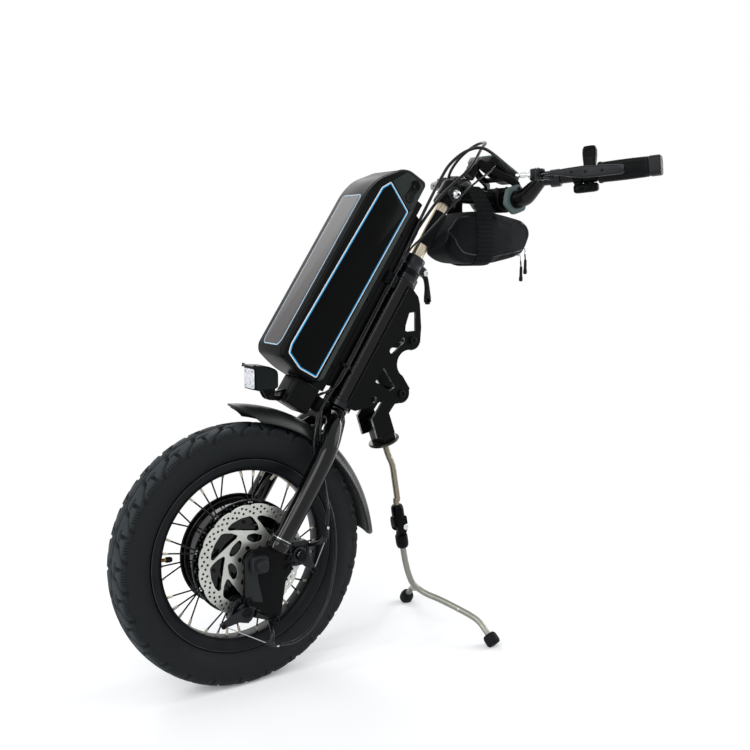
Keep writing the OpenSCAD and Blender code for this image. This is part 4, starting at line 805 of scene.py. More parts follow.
class POWERASSIST_OT_wheel(bpy.types.Operator):
    """Builds the rim, spokes, valve and hub"""

    bl_idname = "power_assist.wheel"
    bl_label = "Rim, spokes and hub"

    def execute(self, context):
        rim = Form()
        half = [(138.2, 0), (138.2, 11), (139.4, 13.8), (143.5, 16.8), (148, 19), (152, 19.4), (156.2, 20),
                (158.2, 19.8), (158.8, 19), (158.6, 17.6), (151, 17.2), (148, 12), (148, 0)]
        outline = half + [(r, -z) for r, z in reversed(half)]
        rim.join(lathe(outline, 128), "rim_grey", WHEEL)
        for side in (-1, 1):
            rim.join(lathe([(r + 157.6, side * 19.9 + z) for r, z in circle(0, 0, 0.55, 8) + [(0.55, 0)]], 128),
                     "gunmetal", WHEEL)
        rim.done("wheel_rim", "wheel", ["rim"])

        spokes = Form()
        count = context.scene.power_assist.spoke_count
        step = 360 / count
        for i in range(count):
            pair = i // 2
            side = 1 if pair % 2 == 0 else -1
            lead = -1.5 if i % 2 == 0 else 1.5
            root = Vector((*polar(89.4, (2 * pair + 0.5) * step + lead), side * 24.2))
            tip = Vector((*polar(140.5, i * step), side * 5))
            along = (tip - root).normalized()
            spokes.join(rod(root, tip, 1.35, sides=8), "spoke_black", WHEEL)
            spokes.join(rod(tip - along * 13, tip, 2.1, 2.5, 6), "nipple_cream", WHEEL)
            spokes.join(rod(tip - along * 2.5, tip, 2.9, 3.3, 10), "nipple_cream", WHEEL)
            spokes.join(ball(1.9, 0.7, 8), "plain_steel",
                        WHEEL @ Matrix.Translation(root + Vector((0, 0, side * 2.2))))
        spokes.done("wheel_spokes", "wheel", ["spokes"])

        valve = Form()
        on_rim = WHEEL @ turn("Z", 175) @ place(138, 0, 0) @ turn("Y", -90)
        stem = [(0, 0), (4.6, 0), (4.6, 2.4), (3, 3), (3, 10.5)]
        threads = [(2.7 + 0.35 * (k % 2), 10.5 - 0.6 * k) for k in range(12)]
        valve.join(lathe(stem[:4] + threads[::-1], 24), "valve_brass", on_rim)
        cap = rounded([(0, 21), (3.4, 21), (4.2, 18), (4.2, 10.5), (3, 10.5)], 1, 3, closed=False)
        valve.join(lathe(cap, 24), "black_rubber", on_rim)
        for k in range(16):
            valve.join(rod((*polar(4.2, k * 22.5), 11), (*polar(4.2, k * 22.5), 18), 0.35, sides=6),
                       "black_rubber", on_rim)
        valve.done("tyre_valve", "wheel", ["valve_stem"])

        hub = Form()
        shell = [(14, -34), (69, -34), (74, -33), (79.5, -27.4), (80.5, -26), (93, -26), (94, -25.2),
                 (94, -23.2), (93, -22.4), (87, -22.2), (85, -20), (85, 20), (87, 22.2), (93, 22.4),
                 (94, 23.2), (94, 25.2), (93, 26), (80.8, 26)]
        hub.join(lathe(rounded(shell, 1.6, 3, closed=False), 96), "gloss_black", WHEEL)
        for k in range(18):
            for z in (26, -26.4):
                hub.join(rod((*polar(90, k * 20 + 4), z - 0.2), (*polar(90, k * 20 + 4), z + 0.6), 1.3, sides=8),
                         "plain_steel", WHEEL)
        hub.done("hub_drum", "wheel", ["hub_shell"])
        cover = Form()
        face = [(80.4, 26), (79, 28.4), (74, 33), (69, 34), (56, 34), (54, 35.6), (34, 36), (30, 37.5),
                (24.5, 39), (24, 41), (7.5, 41)]
        cover.join(lathe(rounded(face, 1.8, 3, closed=False), 96), "gloss_black", WHEEL)
        for k in range(12):
            cover.screw(WHEEL @ place(*polar(62, 30 * k + 8), 34.2), 2.8, 1.8)
        cover.done("hub_lid", "wheel", ["hub_cover"])
        return {"FINISHED"}


class POWERASSIST_OT_rotor(bpy.types.Operator):
    """Builds the drilled brake rotor and its bolts"""

    bl_idname = "power_assist.rotor"
    bl_label = "Brake rotor"

    def execute(self, context):
        form = Form()
        steps = 384
        lobes = 16
        outline = []
        for k in range(steps):
            angle = 360 * k / steps
            lobe = abs(math.sin(math.radians(angle * lobes / 2)))
            outline.append(polar(88.4 + 2.6 * lobe ** 0.45, angle))
        openings = [circle(0, 0, 17, 32)]
        window = [(49.5, -12), (59, -5.5), (67.7, 1.5), (72, 6), (72.5, 20), (72.5, 33), (71, 40), (66.5, 41),
                  (60, 33), (52, 20), (47.8, 3), (46.8, -7)]
        for k in range(8):
            openings.append(rounded([polar(r, 175 + 45 * k + a) for r, a in window], 2.4, 4))
        drop = [(42, -19), (43, 2), (42.4, 18), (38, 23), (32, 18), (28, 3), (29.5, -13), (36, -23)]
        for k in range(6):
            openings.append(rounded([polar(r, 140 + 60 * k + a) for r, a in drop], 3, 4))
        drilled = [(79.2, 1), (83.5, 5.5), (77.6, 9.5), (86.4, 10), (82.2, 14.5), (75.6, 18.8), (85, 18.8)]
        for k in range(lobes):
            for radius, angle in drilled:
                spot = polar(radius, 360 / lobes * k + angle)
                openings.append(circle(*spot, context.scene.power_assist.rotor_hole / MM / 2, 10))
        form.join(flat([outline] + openings, 1.8, 0.2, 1), "rotor_steel", WHEEL @ place(0, 0, 42))
        for k in range(6):
            form.screw(WHEEL @ place(*polar(22, 60 * k + 50), 42.9), 3.6, 2.2)
        form.done("rotor_disc", "wheel", ["brake_rotor"], 15)
        return {"FINISHED"}


class POWERASSIST_OT_fork(bpy.types.Operator):
    """Builds the fork's crown and legs, the axle caps and the brake bracket"""

    bl_idname = "power_assist.fork"
    bl_label = "Fork"

    def execute(self, context):
        shares = [(1, 1, 0.56), (1, 0.97, 0.72), (0.95, 0.88, 0.835), (0.8, 0.67, 0.94), (0.5, 0.435, 1.007),
                  (0.3, 0.18, 1.03)]
        bend = [(-16 * a, 68 * b, 262 * c) for a, b, c in shares]
        for side, node in ((-1, "fork_leg_left"), (1, "fork_leg_right")):
            form = Form()
            line = [(-16, 68, 32), (-16, 68, 80), (-16, 68, 118)] + [tuple(p) for p in flow(bend, 5)]
            line = [(x, side * y, z) for x, y, z in line]
            form.join(tube(line, 16.5, 32), "gloss_black", STEER)
            foot = STEER @ place(-16, side * 68, 32)
            collar = [(0, -1), (15.2, -1), (17.2, 1), (17.6, 6), (17.6, 12), (16.4, 14)]
            form.join(lathe(rounded(collar, 1.4, 3, closed=False), 40), "gloss_black", foot)
            groove = [(16.4, 17), (17, 17.4), (17, 18.6), (16.4, 19)]
            form.join(lathe(groove, 40), "plain_steel", foot)
            form.done(node + "_tube", "steering", [node])
        crown = Form()
        body = [(15, 258), (18, 259), (20, 262), (20.4, 266), (20.4, 284), (19.6, 287.6), (15.2, 288.2),
                (15.2, 296)]
        crown.join(lathe(rounded(body, 1.4, 3, closed=False), 48), "gloss_black", STEER)
        crown.join(lathe([(14.9, 296), (14.9, 575)], 40), "dark_alloy", STEER)
        crown.join(lathe(rounded([(0, 236), (5, 236), (5, 262)], 1, 2, closed=False), 20), "black_steel",
                   STEER @ place(-12, 0, 0))
        crown.screw(STEER @ place(0, 0, 258) @ turn("X", 180), 8, 5)
        crown.done("fork_crown_body", "steering", ["fork_crown"])

        caps = Form()
        for side in (0, 180):
            at = WHEEL @ turn("X", side) @ place(0, 0, 64)
            base = rounded([(-15, -14), (14, -14), (14, 14), (-15, 14)], 7, 5)
            caps.join(flat([base], 12.4, 2.6, 4), "cap_rubber", at @ place(0, 0, 6.4))
            cap = [(0, 21.6), (8.4, 21.6), (9.6, 20.6), (10.2, 12), (7, 12)]
            caps.join(lathe(rounded(cap, 1.2, 4, closed=False), 40), "cap_rubber", at)
            caps.join(lathe(rounded([(15, 3), (17.4, 3), (17.8, 1.5), (17.4, 0.2), (15, 0.2)], 0.6, 3, False), 40),
                      "black_steel", at)
        caps.done("axle_end_caps", "steering", ["axle_caps"])

        bracket = Form()
        corners = [(-22, 12), (-8, 22), (22, 24), (36, 44), (52, 36), (50, 4), (62, 2), (62, -24), (50, -36),
                   (40, -96), (24, -98), (-20, -57), (-24, -50)]
        bracket.join(flat([rounded(corners, 7, 5), circle(0, 0, 6.1, 24)], 6, 0.8), "satin_plastic",
                     WHEEL @ place(0, 0, 61))
        service = [self.caliper_spot(-107, (57.5 * a, 57.5 * b)) for a, b in ((-0.348, 0.017), (0.096, 1))]
        parking = [self.caliper_spot(0, (57.5 * a, 57.5 * b)) for a, b in ((-0.435, -0.296), (-0.435, -0.035))]
        for x, y in service:
            bracket.join(flat([circle(x, y, 8.5, 28)], 6, 0.8), "satin_plastic", WHEEL @ place(0, 0, 61))
        flange = [(-22, 10), (-9, 19), (0, 6), (-1, -24), (8, -66), (-19, -57), (-23, -50)]
        bracket.join(flat([rounded(flange, 4, 4)], 1.6, 0.7), "flange_grey", WHEEL @ place(0, 0, 64.5))
        bracket.done("brake_plate", "steering", ["brake_bracket"])
        bolts = Form()
        for x, y in service + parking:
            at = WHEEL @ place(x, y, 64)
            bolts.join(lathe([(0, 0.9), (6.2, 0.9), (6.6, 0.5), (6.6, 0), (0, 0)], 24), "black_steel", at)
            bolts.screw(at @ place(0, 0, 0.9), 5, 4)
            bolts.join(rod((0, 0, -14), (0, 0, 0), 3), "black_steel", at)
        bolts.done("brake_bolts", "steering", ["caliper_bolts"])
        return {"FINISHED"}

    @staticmethod
    def caliper_spot(angle, spot):
        x, y = polar(80 + spot[0], angle)
        dx, dy = polar(spot[1], angle + 90)
        return (x + dx, y + dy)


class POWERASSIST_OT_brakes(bpy.types.Operator):
    """Builds the two cable calipers, their arms and barrels"""

    bl_idname = "power_assist.brakes"
    bl_label = "Calipers"

    def execute(self, context):
        barrels = {"service": ((22, -135), (5.9, -128)), "parking": ((120, 36), (115, 17))}
        reaches = {"service": (-42, -13), "parking": (21, -28)}
        ears = {"service": ((-20, 1), (5.5, 57.5)), "parking": ((-25, -17), (-25, -2))}
        for name, angle in (("service", -107), ("parking", 0)):
            at = WHEEL @ turn("Z", angle) @ place(80, 0, 0)
            form = Form()
            outer = [(-20, -14), (-14, -20), (12, -20), (18, -13), (18, 13), (12, 20), (-14, 20), (-20, 14)]
            form.join(flat([rounded(outer, 5, 4)], 13, 1.6, 3), "dark_alloy", at @ place(0, 0, 51.6))
            form.join(flat([rounded(outer, 5, 4)], 3.4, 0.8), "dark_alloy", at @ place(0, 0, 37.6))
            form.join(block(6, 34, 20, 1.5), "dark_alloy", at @ place(15.4, 0, 46))
            form.join(lathe(rounded([(0, 58.4), (11.5, 58.4), (12.5, 60), (12.5, 62), (9.4, 63), (9, 67)], 1, 3, False), 36),
                      "dark_alloy", at @ place(-3, 0, 0))
            pin = [(4, 66), (4, 72.6), (6.5, 72.6), (6.5, 75), (4.2, 75.6), (4.2, 74.2), (0, 74.2)]
            form.join(lathe(rounded(pin, 0.5, 2, closed=False), 24), "black_steel", at @ place(-3, 0, 0))
            for k in range(3):
                form.join(block(2, 26, 2.4, 0.6, 2), "dark_alloy", at @ place(4 + 4.4 * k, 0, 58.6))
            for x, y in ((-13, 13), (-13, -13)):
                form.screw(at @ place(x, y, 58), 3, 2.4)
            coil = [(*polar(7.4, 40 * k), 67.2 + 0.16 * k) for k in range(24)]
            form.join(tube(coil, 0.7, 8), "plain_steel", at @ place(-3, 0, 0))
            start, end = (Vector((x, y, 76)) for x, y in barrels[name])
            middle = (start + end) / 2
            along = (end - start).normalized()
            if name == "service":
                x, y = POWERASSIST_OT_fork.caliper_spot(angle, (5.5, 57.5))
                root = Vector((x - 4.9, y - 6.3, 54))
            else:
                root = Vector((96, 10, 54))
            for ear in ears[name]:
                spot = Vector((*ear, 54))
                form.join(rod((0.4 * spot.x, 0.4 * spot.y, 54), spot, 6.5, 6, 16), "dark_alloy", at)
                form.join(lathe(rounded([(3, 50), (7, 50), (7, 58), (3, 58)], 1, 3, False), 28), "dark_alloy",
                          at @ place(spot.x, spot.y, 0))
            form.join(tube(flow([root, (root + middle) / 2 + Vector((0, 0, 9)), middle], 4), 3.4, 12), "dark_alloy",
                      WHEEL)
            toward = Matrix.Translation(start) @ along.to_track_quat("Z", "Y").to_matrix().to_4x4()
            length = (end - start).length
            barrel = [(1.6, -3), (3.2, -3), (3.6, -1.6), (3.6, 2), (4.4, 2.6), (4.4, 0.6 * length), (3, 0.66 * length),
                      (3, length), (1, length)]
            form.join(lathe(rounded(barrel, 0.4, 2, closed=False), 24), "dark_alloy", WHEEL @ toward)
            for k in range(14):
                spot = polar(4.35, 360 / 14 * k)
                form.join(rod((*spot, 3), (*spot, 0.58 * length), 0.45, sides=6), "dark_alloy", WHEEL @ toward)
            form.join(lathe([(1.2, -7), (2.9, -7), (2.9, -3), (1.2, -3)], 16), "silver_alloy", WHEEL @ toward)
            pivot = Vector((*POWERASSIST_OT_fork.caliper_spot(angle, (-3, 0)), 69.8))
            reach = Vector((*reaches[name], 0))
            form.join(rod(end, pivot + reach, 0.8, sides=8), "plain_steel", WHEEL)
            form.done(name + "_caliper", "steering", ["caliper_" + name])

            arm = Form()
            across = Vector((-reach.y, reach.x, 0)).normalized()
            edge = [across * 11, reach + across * 4.5, reach * 1.1, reach - across * 4.5, across * -11,
                    reach * -0.26]
            curve = rounded([(p.x, p.y) for p in edge], 8, 5)
            arm.join(flat([curve, circle(0, 0, 4.1, 20)], 4.6, 1), "dark_alloy", WHEEL @ Matrix.Translation(pivot))
            arm.join(lathe(rounded([(4.2, 2), (9, 2), (9.6, 3), (8.6, 4.2), (4.2, 4.2)], 0.5, 2, False), 28), "black_steel",
                     WHEEL @ Matrix.Translation(pivot))
            arm.screw(WHEEL @ Matrix.Translation(pivot + reach + Vector((0, 0, 2.3))), 4.2, 3)
            arm.join(rod((0, 0, -4.5), (0, 0, -2), 4, sides=6), "plain_steel", WHEEL @ Matrix.Translation(pivot + reach))
            arm.done(name + "_cable_arm", "caliper_arm_" + name, ["caliper_arm_" + name])
        return {"FINISHED"}


class POWERASSIST_OT_mudguard(bpy.types.Operator):
    """Builds the mudguard with its rolled lip and slanted front"""

    bl_idname = "power_assist.mudguard"
    bl_label = "Mudguard"

    def execute(self, context):
        bm = bmesh.new()
        section = []
        for k in range(25):
            angle = math.radians(-64.8 + 129.6 * k / 24)
            section.append((238 + 41 * math.cos(angle), 41 * math.sin(angle)))
        points = [bm.verts.new((r, 0, z)) for r, z in section]
        edges = [bm.edges.new(pair) for pair in zip(points, points[1:])]
        bm.transform(turn("Z", 4.5))
        bmesh.ops.spin(bm, geom=points + edges, cent=(0, 0, 0), axis=(0, 0, 1), angle=math.radians(83), steps=77)
        front = turn("Z", 87.5) @ Vector((279, 0, 0))
        ahead = turn("Z", 87.5) @ Vector((0, 1, 0))
        for side in (-1, 1):
            for out, back, lean in ((9, 1, 0.3), (20, 8, 0.9), (29, 19, 1.8)):
                slant = (ahead + Vector((0, 0, side * lean)) - 0.2 * front.normalized()).normalized()
                bmesh.ops.bisect_plane(bm, geom=bm.verts[:] + bm.edges[:] + bm.faces[:], plane_no=slant,
                                       plane_co=front - back * ahead + Vector((0, 0, side * out)),
                                       clear_outer=True)
        rear = turn("Z", 4.5) @ Vector((279, 0, 0))
        behind = turn("Z", 4.5) @ Vector((0, -1, 0))
        for side in (-1, 1):
            slant = (behind + Vector((0, 0, side * 0.55))).normalized()
            bmesh.ops.bisect_plane(bm, geom=bm.verts[:] + bm.edges[:] + bm.faces[:],
                                   plane_co=rear + Vector((0, 0, side * 5)), plane_no=slant, clear_outer=True)
        bmesh.ops.recalc_face_normals(bm, faces=bm.faces)
        bmesh.ops.solidify(bm, geom=bm.faces[:], thickness=2.4)
        form = Form()
        hold = WHEEL @ place(-25.5, -31.5, 0)
        form.join(bm, "guard_plastic", hold)
        for side in (-1, 1):
            lip = []
            for k in range(60):
                radius, z = section[0] if side < 0 else section[-1]
                lip.append((*polar(radius + 0.4, 9.5 + 69 * k / 59), z))
            form.join(tube(lip, 1.7, 10), "guard_plastic", hold)
        form.join(block(26, 12, 4, 1.2), "black_steel", STEER @ place(-12, 0, 240.2))
        form.screw(STEER @ place(-12, 0, 238) @ turn("X", 180), 4, 3)
        form.done("mudguard_shell", "steering", ["mudguard"], 45)
        return {"FINISHED"}


class POWERASSIST_OT_battery(bpy.types.Operator):
    """Builds the battery's case, panels, button and port"""

    bl_idname = "power_assist.battery"
    bl_label = "Battery"

    @staticmethod
    def spot(share):
        return (-75 - 92 * share[0], 295 + 397 * share[1])

    def execute(self, context):
        case = Form()
        corners = [(0, 0), (0.54, 0), (0.92, 0.02), (1, 0.05), (1, 0.8), (0.92, 0.875), (0.53, 0.995), (0.06, 1),
                   (0, 0.985)]
        outline = rounded([self.spot(s) for s in corners], 16, 6)
        case.join(flat([outline], 94, 6.5, 6), "satin_plastic", SIDE)
        ridge = rounded([self.spot(s) for s in ((0.02, 0.03), (0.1, 0.012), (0.1, 0.84), (0.02, 0.86))], 2, 3)
        plate = [(0.1, 0.845), (0.69, 0.9), (0.5, 0.975), (0.1, 0.98), (0.05, 0.968), (0.03, 0.93), (0.03, 0.86)]
        recess = [(0.33, 0.885), (0.31, 0.915), (0.31, 0.955), (0.24, 0.972), (0.15, 0.965), (0.12, 0.94),
                  (0.14, 0.915), (0.12, 0.89), (0.15, 0.868), (0.27, 0.868)]
        for side in (-1, 1):
            face = SIDE @ place(0, 0, side * 47)
            case.join(flat([ridge], 1.4, 0.5), "edge_grey", face)
            case.join(flat([rounded([self.spot(s) for s in plate], 3, 4)], 1.2, 0.5), "corner_green", face)
        case.join(flat([rounded([self.spot(s) for s in recess], 4, 4)], 1.9, 0.5), "satin_black",
                  SIDE @ place(0, 0, 47))
        case.join(lathe(rounded([(7.4, 47), (9.6, 47), (9.6, 48.6), (8.8, 49), (7.4, 48.4)], 0.4, 2, False), 36),
                  "satin_plastic", SIDE @ place(*self.spot((0.22, 0.952)), 0))
        seam = [Vector((*p, 0)) for p in outline]
        case.join(tube(seam, 0.7, 8, closed=True), "gloss_plastic", SIDE @ place(0, 0, 36.4))
        case.join(block(14, 34, 5, 1.5), "black_rubber", STEER @ place(-96, 0, 296))
        case.done("battery_shell", "battery", ["battery_case"])

        panels = Form()
        shape = [(0.15, 0.018), (0.534, 0.013), (0.87, 0.042), (0.915, 0.078), (0.82, 0.848), (0.71, 0.893), (0.1, 0.838)]
        outline = rounded([self.spot(s) for s in shape], 3.5, 5)
        for side in (-1, 1):
            face = SIDE @ place(0, 0, side * 47.2)
            panels.join(flat([outline], 1.2, 0.3), "line_white", face)
            panels.join(flat([outline], 1.5, 0.3, inset=1.5), "line_blue", face)
            panels.join(flat([outline], 1.8, 0.3, inset=3.3), "gloss_plastic", face)
        front = STEER @ place(-167, 0, 295) @ turn("Y", -90)
        low, high = 0.055 * 397, 0.785 * 397
        shape = [(low, -23), (low, 23), (low + 9, 29), (high - 4, 29), (high, 25), (high, -25), (high - 4, -29),
                 (low + 9, -29)]
        outline = rounded(shape, 4, 4)
        panels.join(flat([outline], 1.6, 0.3), "line_pale", front)
        # the front panel, painted lighter towards its foot as a painted highlight
        panels.join(flat([outline], 2.1, 0.3, inset=1.6), "panel_grey", front)
        panels.done("battery_faces", "battery", ["battery_panels"])

        button = Form()
        at = SIDE @ place(*self.spot((0.22, 0.952)), 43.5)
        top = [(0, 5.4), (4.6, 5.4), (5.4, 6), (6.4, 6), (7, 5.4), (7, 0), (0, 0)]
        button.join(lathe(rounded(top, 0.5, 3, closed=False), 36), "gloss_plastic", at)
        button.done("power_button_top", "power_button", ["power_button"])
        port = Form()
        at = SIDE @ place(*self.spot((0.22, 0.893)), 47.3)
        cap = [(0, 1.3), (6, 1.3), (6.6, 1.9), (8.4, 1.9), (9, 1.2), (9, 0), (0, 0)]
        port.join(lathe(rounded(cap, 0.4, 3, closed=False), 40), "black_rubber", at)
        port.join(block(5, 9, 1.6, 0.5, 2), "black_rubber", at @ place(-6.4, 0, 0.9))
        port.done("charge_port_lid", "charge_port_cap", ["charge_port_cap"])
        return {"FINISHED"}


class POWERASSIST_OT_light(bpy.types.Operator):
    """Builds the headlight and the box that carries it"""

    bl_idname = "power_assist.light"
    bl_label = "Headlight and box"

    def execute(self, context):
        pivot = Matrix.Translation(LIGHT_PIVOT)
        side = pivot @ turn("X", 90)
        shell = Form()
        outline = [(9, 15), (0, 12), (-32, 12), (-32, 50), (-38, 51), (-38, 53.4), (-8, 51), (9, 43)]
        shell.join(flat([rounded(outline, 7, 5)], 42, 4.2, 5), "lamp_black", side)
        bezel = rounded([(-19.6, 13.6), (19.6, 13.6), (19.6, 49.4), (-19.6, 49.4)], 5, 5)
        opening = rounded([(-17, 16), (17, 16), (17, 47), (-17, 47)], 4, 5)
        facing = pivot @ place(-32, 0, 0) @ turn("Z", 90) @ turn("X", 90)
        shell.join(flat([bezel, opening], 3.2, 0.7), "gloss_plastic", facing)
        for y in (-6.3, 6.3):
            ear = rounded([(-7, -3), (0, -7), (7, -3), (9, 14), (-16, 14)], 5, 5)
            shell.join(flat([ear], 4, 0.8), "satin_plastic", side @ place(0, 0, y))
        shell.join(rod((0, -9.4, 0), (0, 9.4, 0), 2.5), "black_steel", pivot)
        for y in (-8.3, 8.3):
            shell.screw(pivot @ place(0, y, 0) @ turn("X", 90 if y < 0 else -90), 4.4, 2.6)
        shell.done("headlight_shell", "headlight", ["headlight_housing"], 50)
        lens = Form()
        lens.join(flat([rounded([(-17.6, 15.4), (17.6, 15.4), (17.6, 47.6), (-17.6, 47.6)], 4.4, 5)], 2.4, 1, 3), "lens_clear",
                  facing @ place(0, 0, -1.4))
        for y, z in ((-12, 43), (12, 43), (-12, 20), (12, 20)):
            lens.join(lathe([(0, 0.9), (1.3, 0.8), (1.6, 0), (0, 0)], 16), "plain_steel", facing @ place(y, z, -2.8) @ turn("X", 180))
        lens.join(lathe(rounded([(0, 1.1), (6, 1), (9.4, 0.6), (10, -0.6), (0, -0.6)], 0.4, 2, False), 36), "lens_clear",
                  facing @ place(0, 31, -2.4) @ turn("X", 180))
        lens.done("headlight_glass", "headlight", ["headlight_lens"])

        box = Form()
        outline = rounded([(-105, 246.4), (-57.4, 246.4), (-57.4, 294.4), (-105, 294.4)], 6, 5)
        box.join(flat([outline], 48, 3, 4), "satin_black", SIDE)
        box.join(flat([outline], 3, 0.8, inset=-0.7), "black_rubber", SIDE @ place(0, 0, 9))
        arm = rounded([(-125, 236), (-103, 246), (-103, 270), (-125, 250), (-132, 243)], 5, 5)
        slot = rounded([(-121, 246), (-108, 253), (-108, 261), (-119, 252)], 2, 4)
        box.join(flat([arm, slot], 8, 1), "satin_plastic", SIDE)
        for u in (252, 289):
            for v in (-99, -63):
                box.screw(SIDE @ place(v, u, 23.8), 2.6, 1.6)
        box.done("connector_case", "steering", ["connector_box"])

        guide = Form()
        strip = rounded([(-52, 306), (-34, 312), (-31, 330), (-31, 622), (-36, 640), (-52, 646)], 6, 5)
        guide.join(flat([strip], 2, 0.6), "satin_black", SIDE @ place(0, 0, 19))
        for u in (340, 470, 600):
            guide.screw(SIDE @ place(-56, u, 20), 3, 1.8)
        guide.done("rail_guide", "steering", ())
        return {"FINISHED"}


class POWERASSIST_OT_head(bpy.types.Operator):
    """Builds the head tube, the docking bolts and the column's clamp and lever"""

    bl_idname = "power_assist.head"
    bl_label = "Head tube and clamp"

    def execute(self, context):
        head = Form()
        body = [(20, 298), (24, 298), (24.6, 300), (24.6, 304), (24, 305.5), (24, 534.5), (24.6, 536), (24.6, 540),
                (24, 542), (20, 542)]
        head.join(lathe(rounded(body, 0.6, 3, closed=False), 72), "tube_black", STEER)
        for y in (-1, 1):
            bead = [(23.2, y * 21.8, 304 + 224 * k / 30) for k in range(31)]
            head.join(tube(bead, 1.6, 8), "satin_black", STEER)
            weld = [(0.3, y * 25, 303 + 228 * k / 30) for k in range(31)]
            head.join(tube(weld, 1.9, 8), "satin_black", STEER)
        head.done("head_tube_body", "frame", ["head_tube"])

        bolts = Form()
        for v, u in ((58, 298 + 0.652 * 244), (89, 298 + 0.283 * 244)):
            at = SIDE @ place(v, u, 0)
            sleeve = rounded([(4, -20.9), (8, -20.9), (8, 20.9), (4, 20.9)], 0.8, 3, closed=False)
            bolts.join(lathe(sleeve, 32), "dark_alloy", at)
            bolts.join(rod((0, 0, -27), (0, 0, 27), 3.9), "black_steel", at)
            bolts.screw(at @ place(0, 0, 26), 6.5, 4)
            bolts.screw(at @ turn("X", 180) @ place(0, 0, 26), 6.5, 4)
        bolts.done("dock_screws", "frame", ["dock_bolts"])

        clamp = Form()
        ring = [(15.2, 562), (19, 562), (20, 563), (20, 570), (19.2, 571), (19.2, 580), (20, 581), (20, 589), (19, 590),
                (12.9, 590)]
        clamp.join(lathe(rounded(ring, 0.6, 2, closed=False), 56), "dark_alloy", STEER)
        for y in (-6.1, 6.1):
            lug = rounded([(14, 568), (28, 568), (33, 576), (28, 584), (14, 584)], 4, 4)
            clamp.join(flat([lug], 5.6, 0.9), "dark_alloy", SIDE @ place(0, 0, y))
        for y, spin in ((-9, 90), (9, -90)):
            clamp.screw(STEER @ place(28, y, 576) @ turn("X", spin), 5.4, 3.2, "silver_alloy")
        clamp.join(rod((28, -9, 576), (28, 9, 576), 3), "plain_steel", STEER)
        clamp.done("seat_clamp", "steering", ["column_clamp"])

        lever = Form()
        pin = STEER @ Vector((28, 0, 576))
        line = flow([(0, 0, 0), (7, 0, -9), (10.5, 0, -24), (11.5, 0, -40), (12, 0, -52)], 4)
        thick = 2.7
        rings = []
        for i, spot in enumerate(line):
            share = i / (len(line) - 1)
            half = 6.4 - 2.2 * math.sin(math.pi * min(share * 1.25, 1)) + 0.6 * share
            shape = rounded([(half, thick), (-half, thick), (-half, -thick), (half, -thick)], 1.8, 3)
            ahead = (line[min(i + 1, len(line) - 1)] - line[max(i - 1, 0)]).normalized()
            across = Vector((0, 1, 0)).cross(ahead).normalized()
            rings.append([spot + across * p[0] + Vector((0, p[1], 0)) for p in shape])
        at = Matrix.Translation(pin)
        lever.join(loft(rings), "black_steel", at)
        eye = rounded([(3.1, -2.8), (7, -2.8), (7, 2.8), (3.1, 2.8)], thick / 3, 3, closed=False)
        lever.join(lathe(eye, 32), "black_steel", at @ turn("X", 90))
        lever.join(block(9, 5.4, 12, 1.6), "black_rubber", at @ place(12, 0, -50))
        lever.done("clamp_handle", "clamp_lever", ["clamp_lever"])
        return {"FINISHED"}


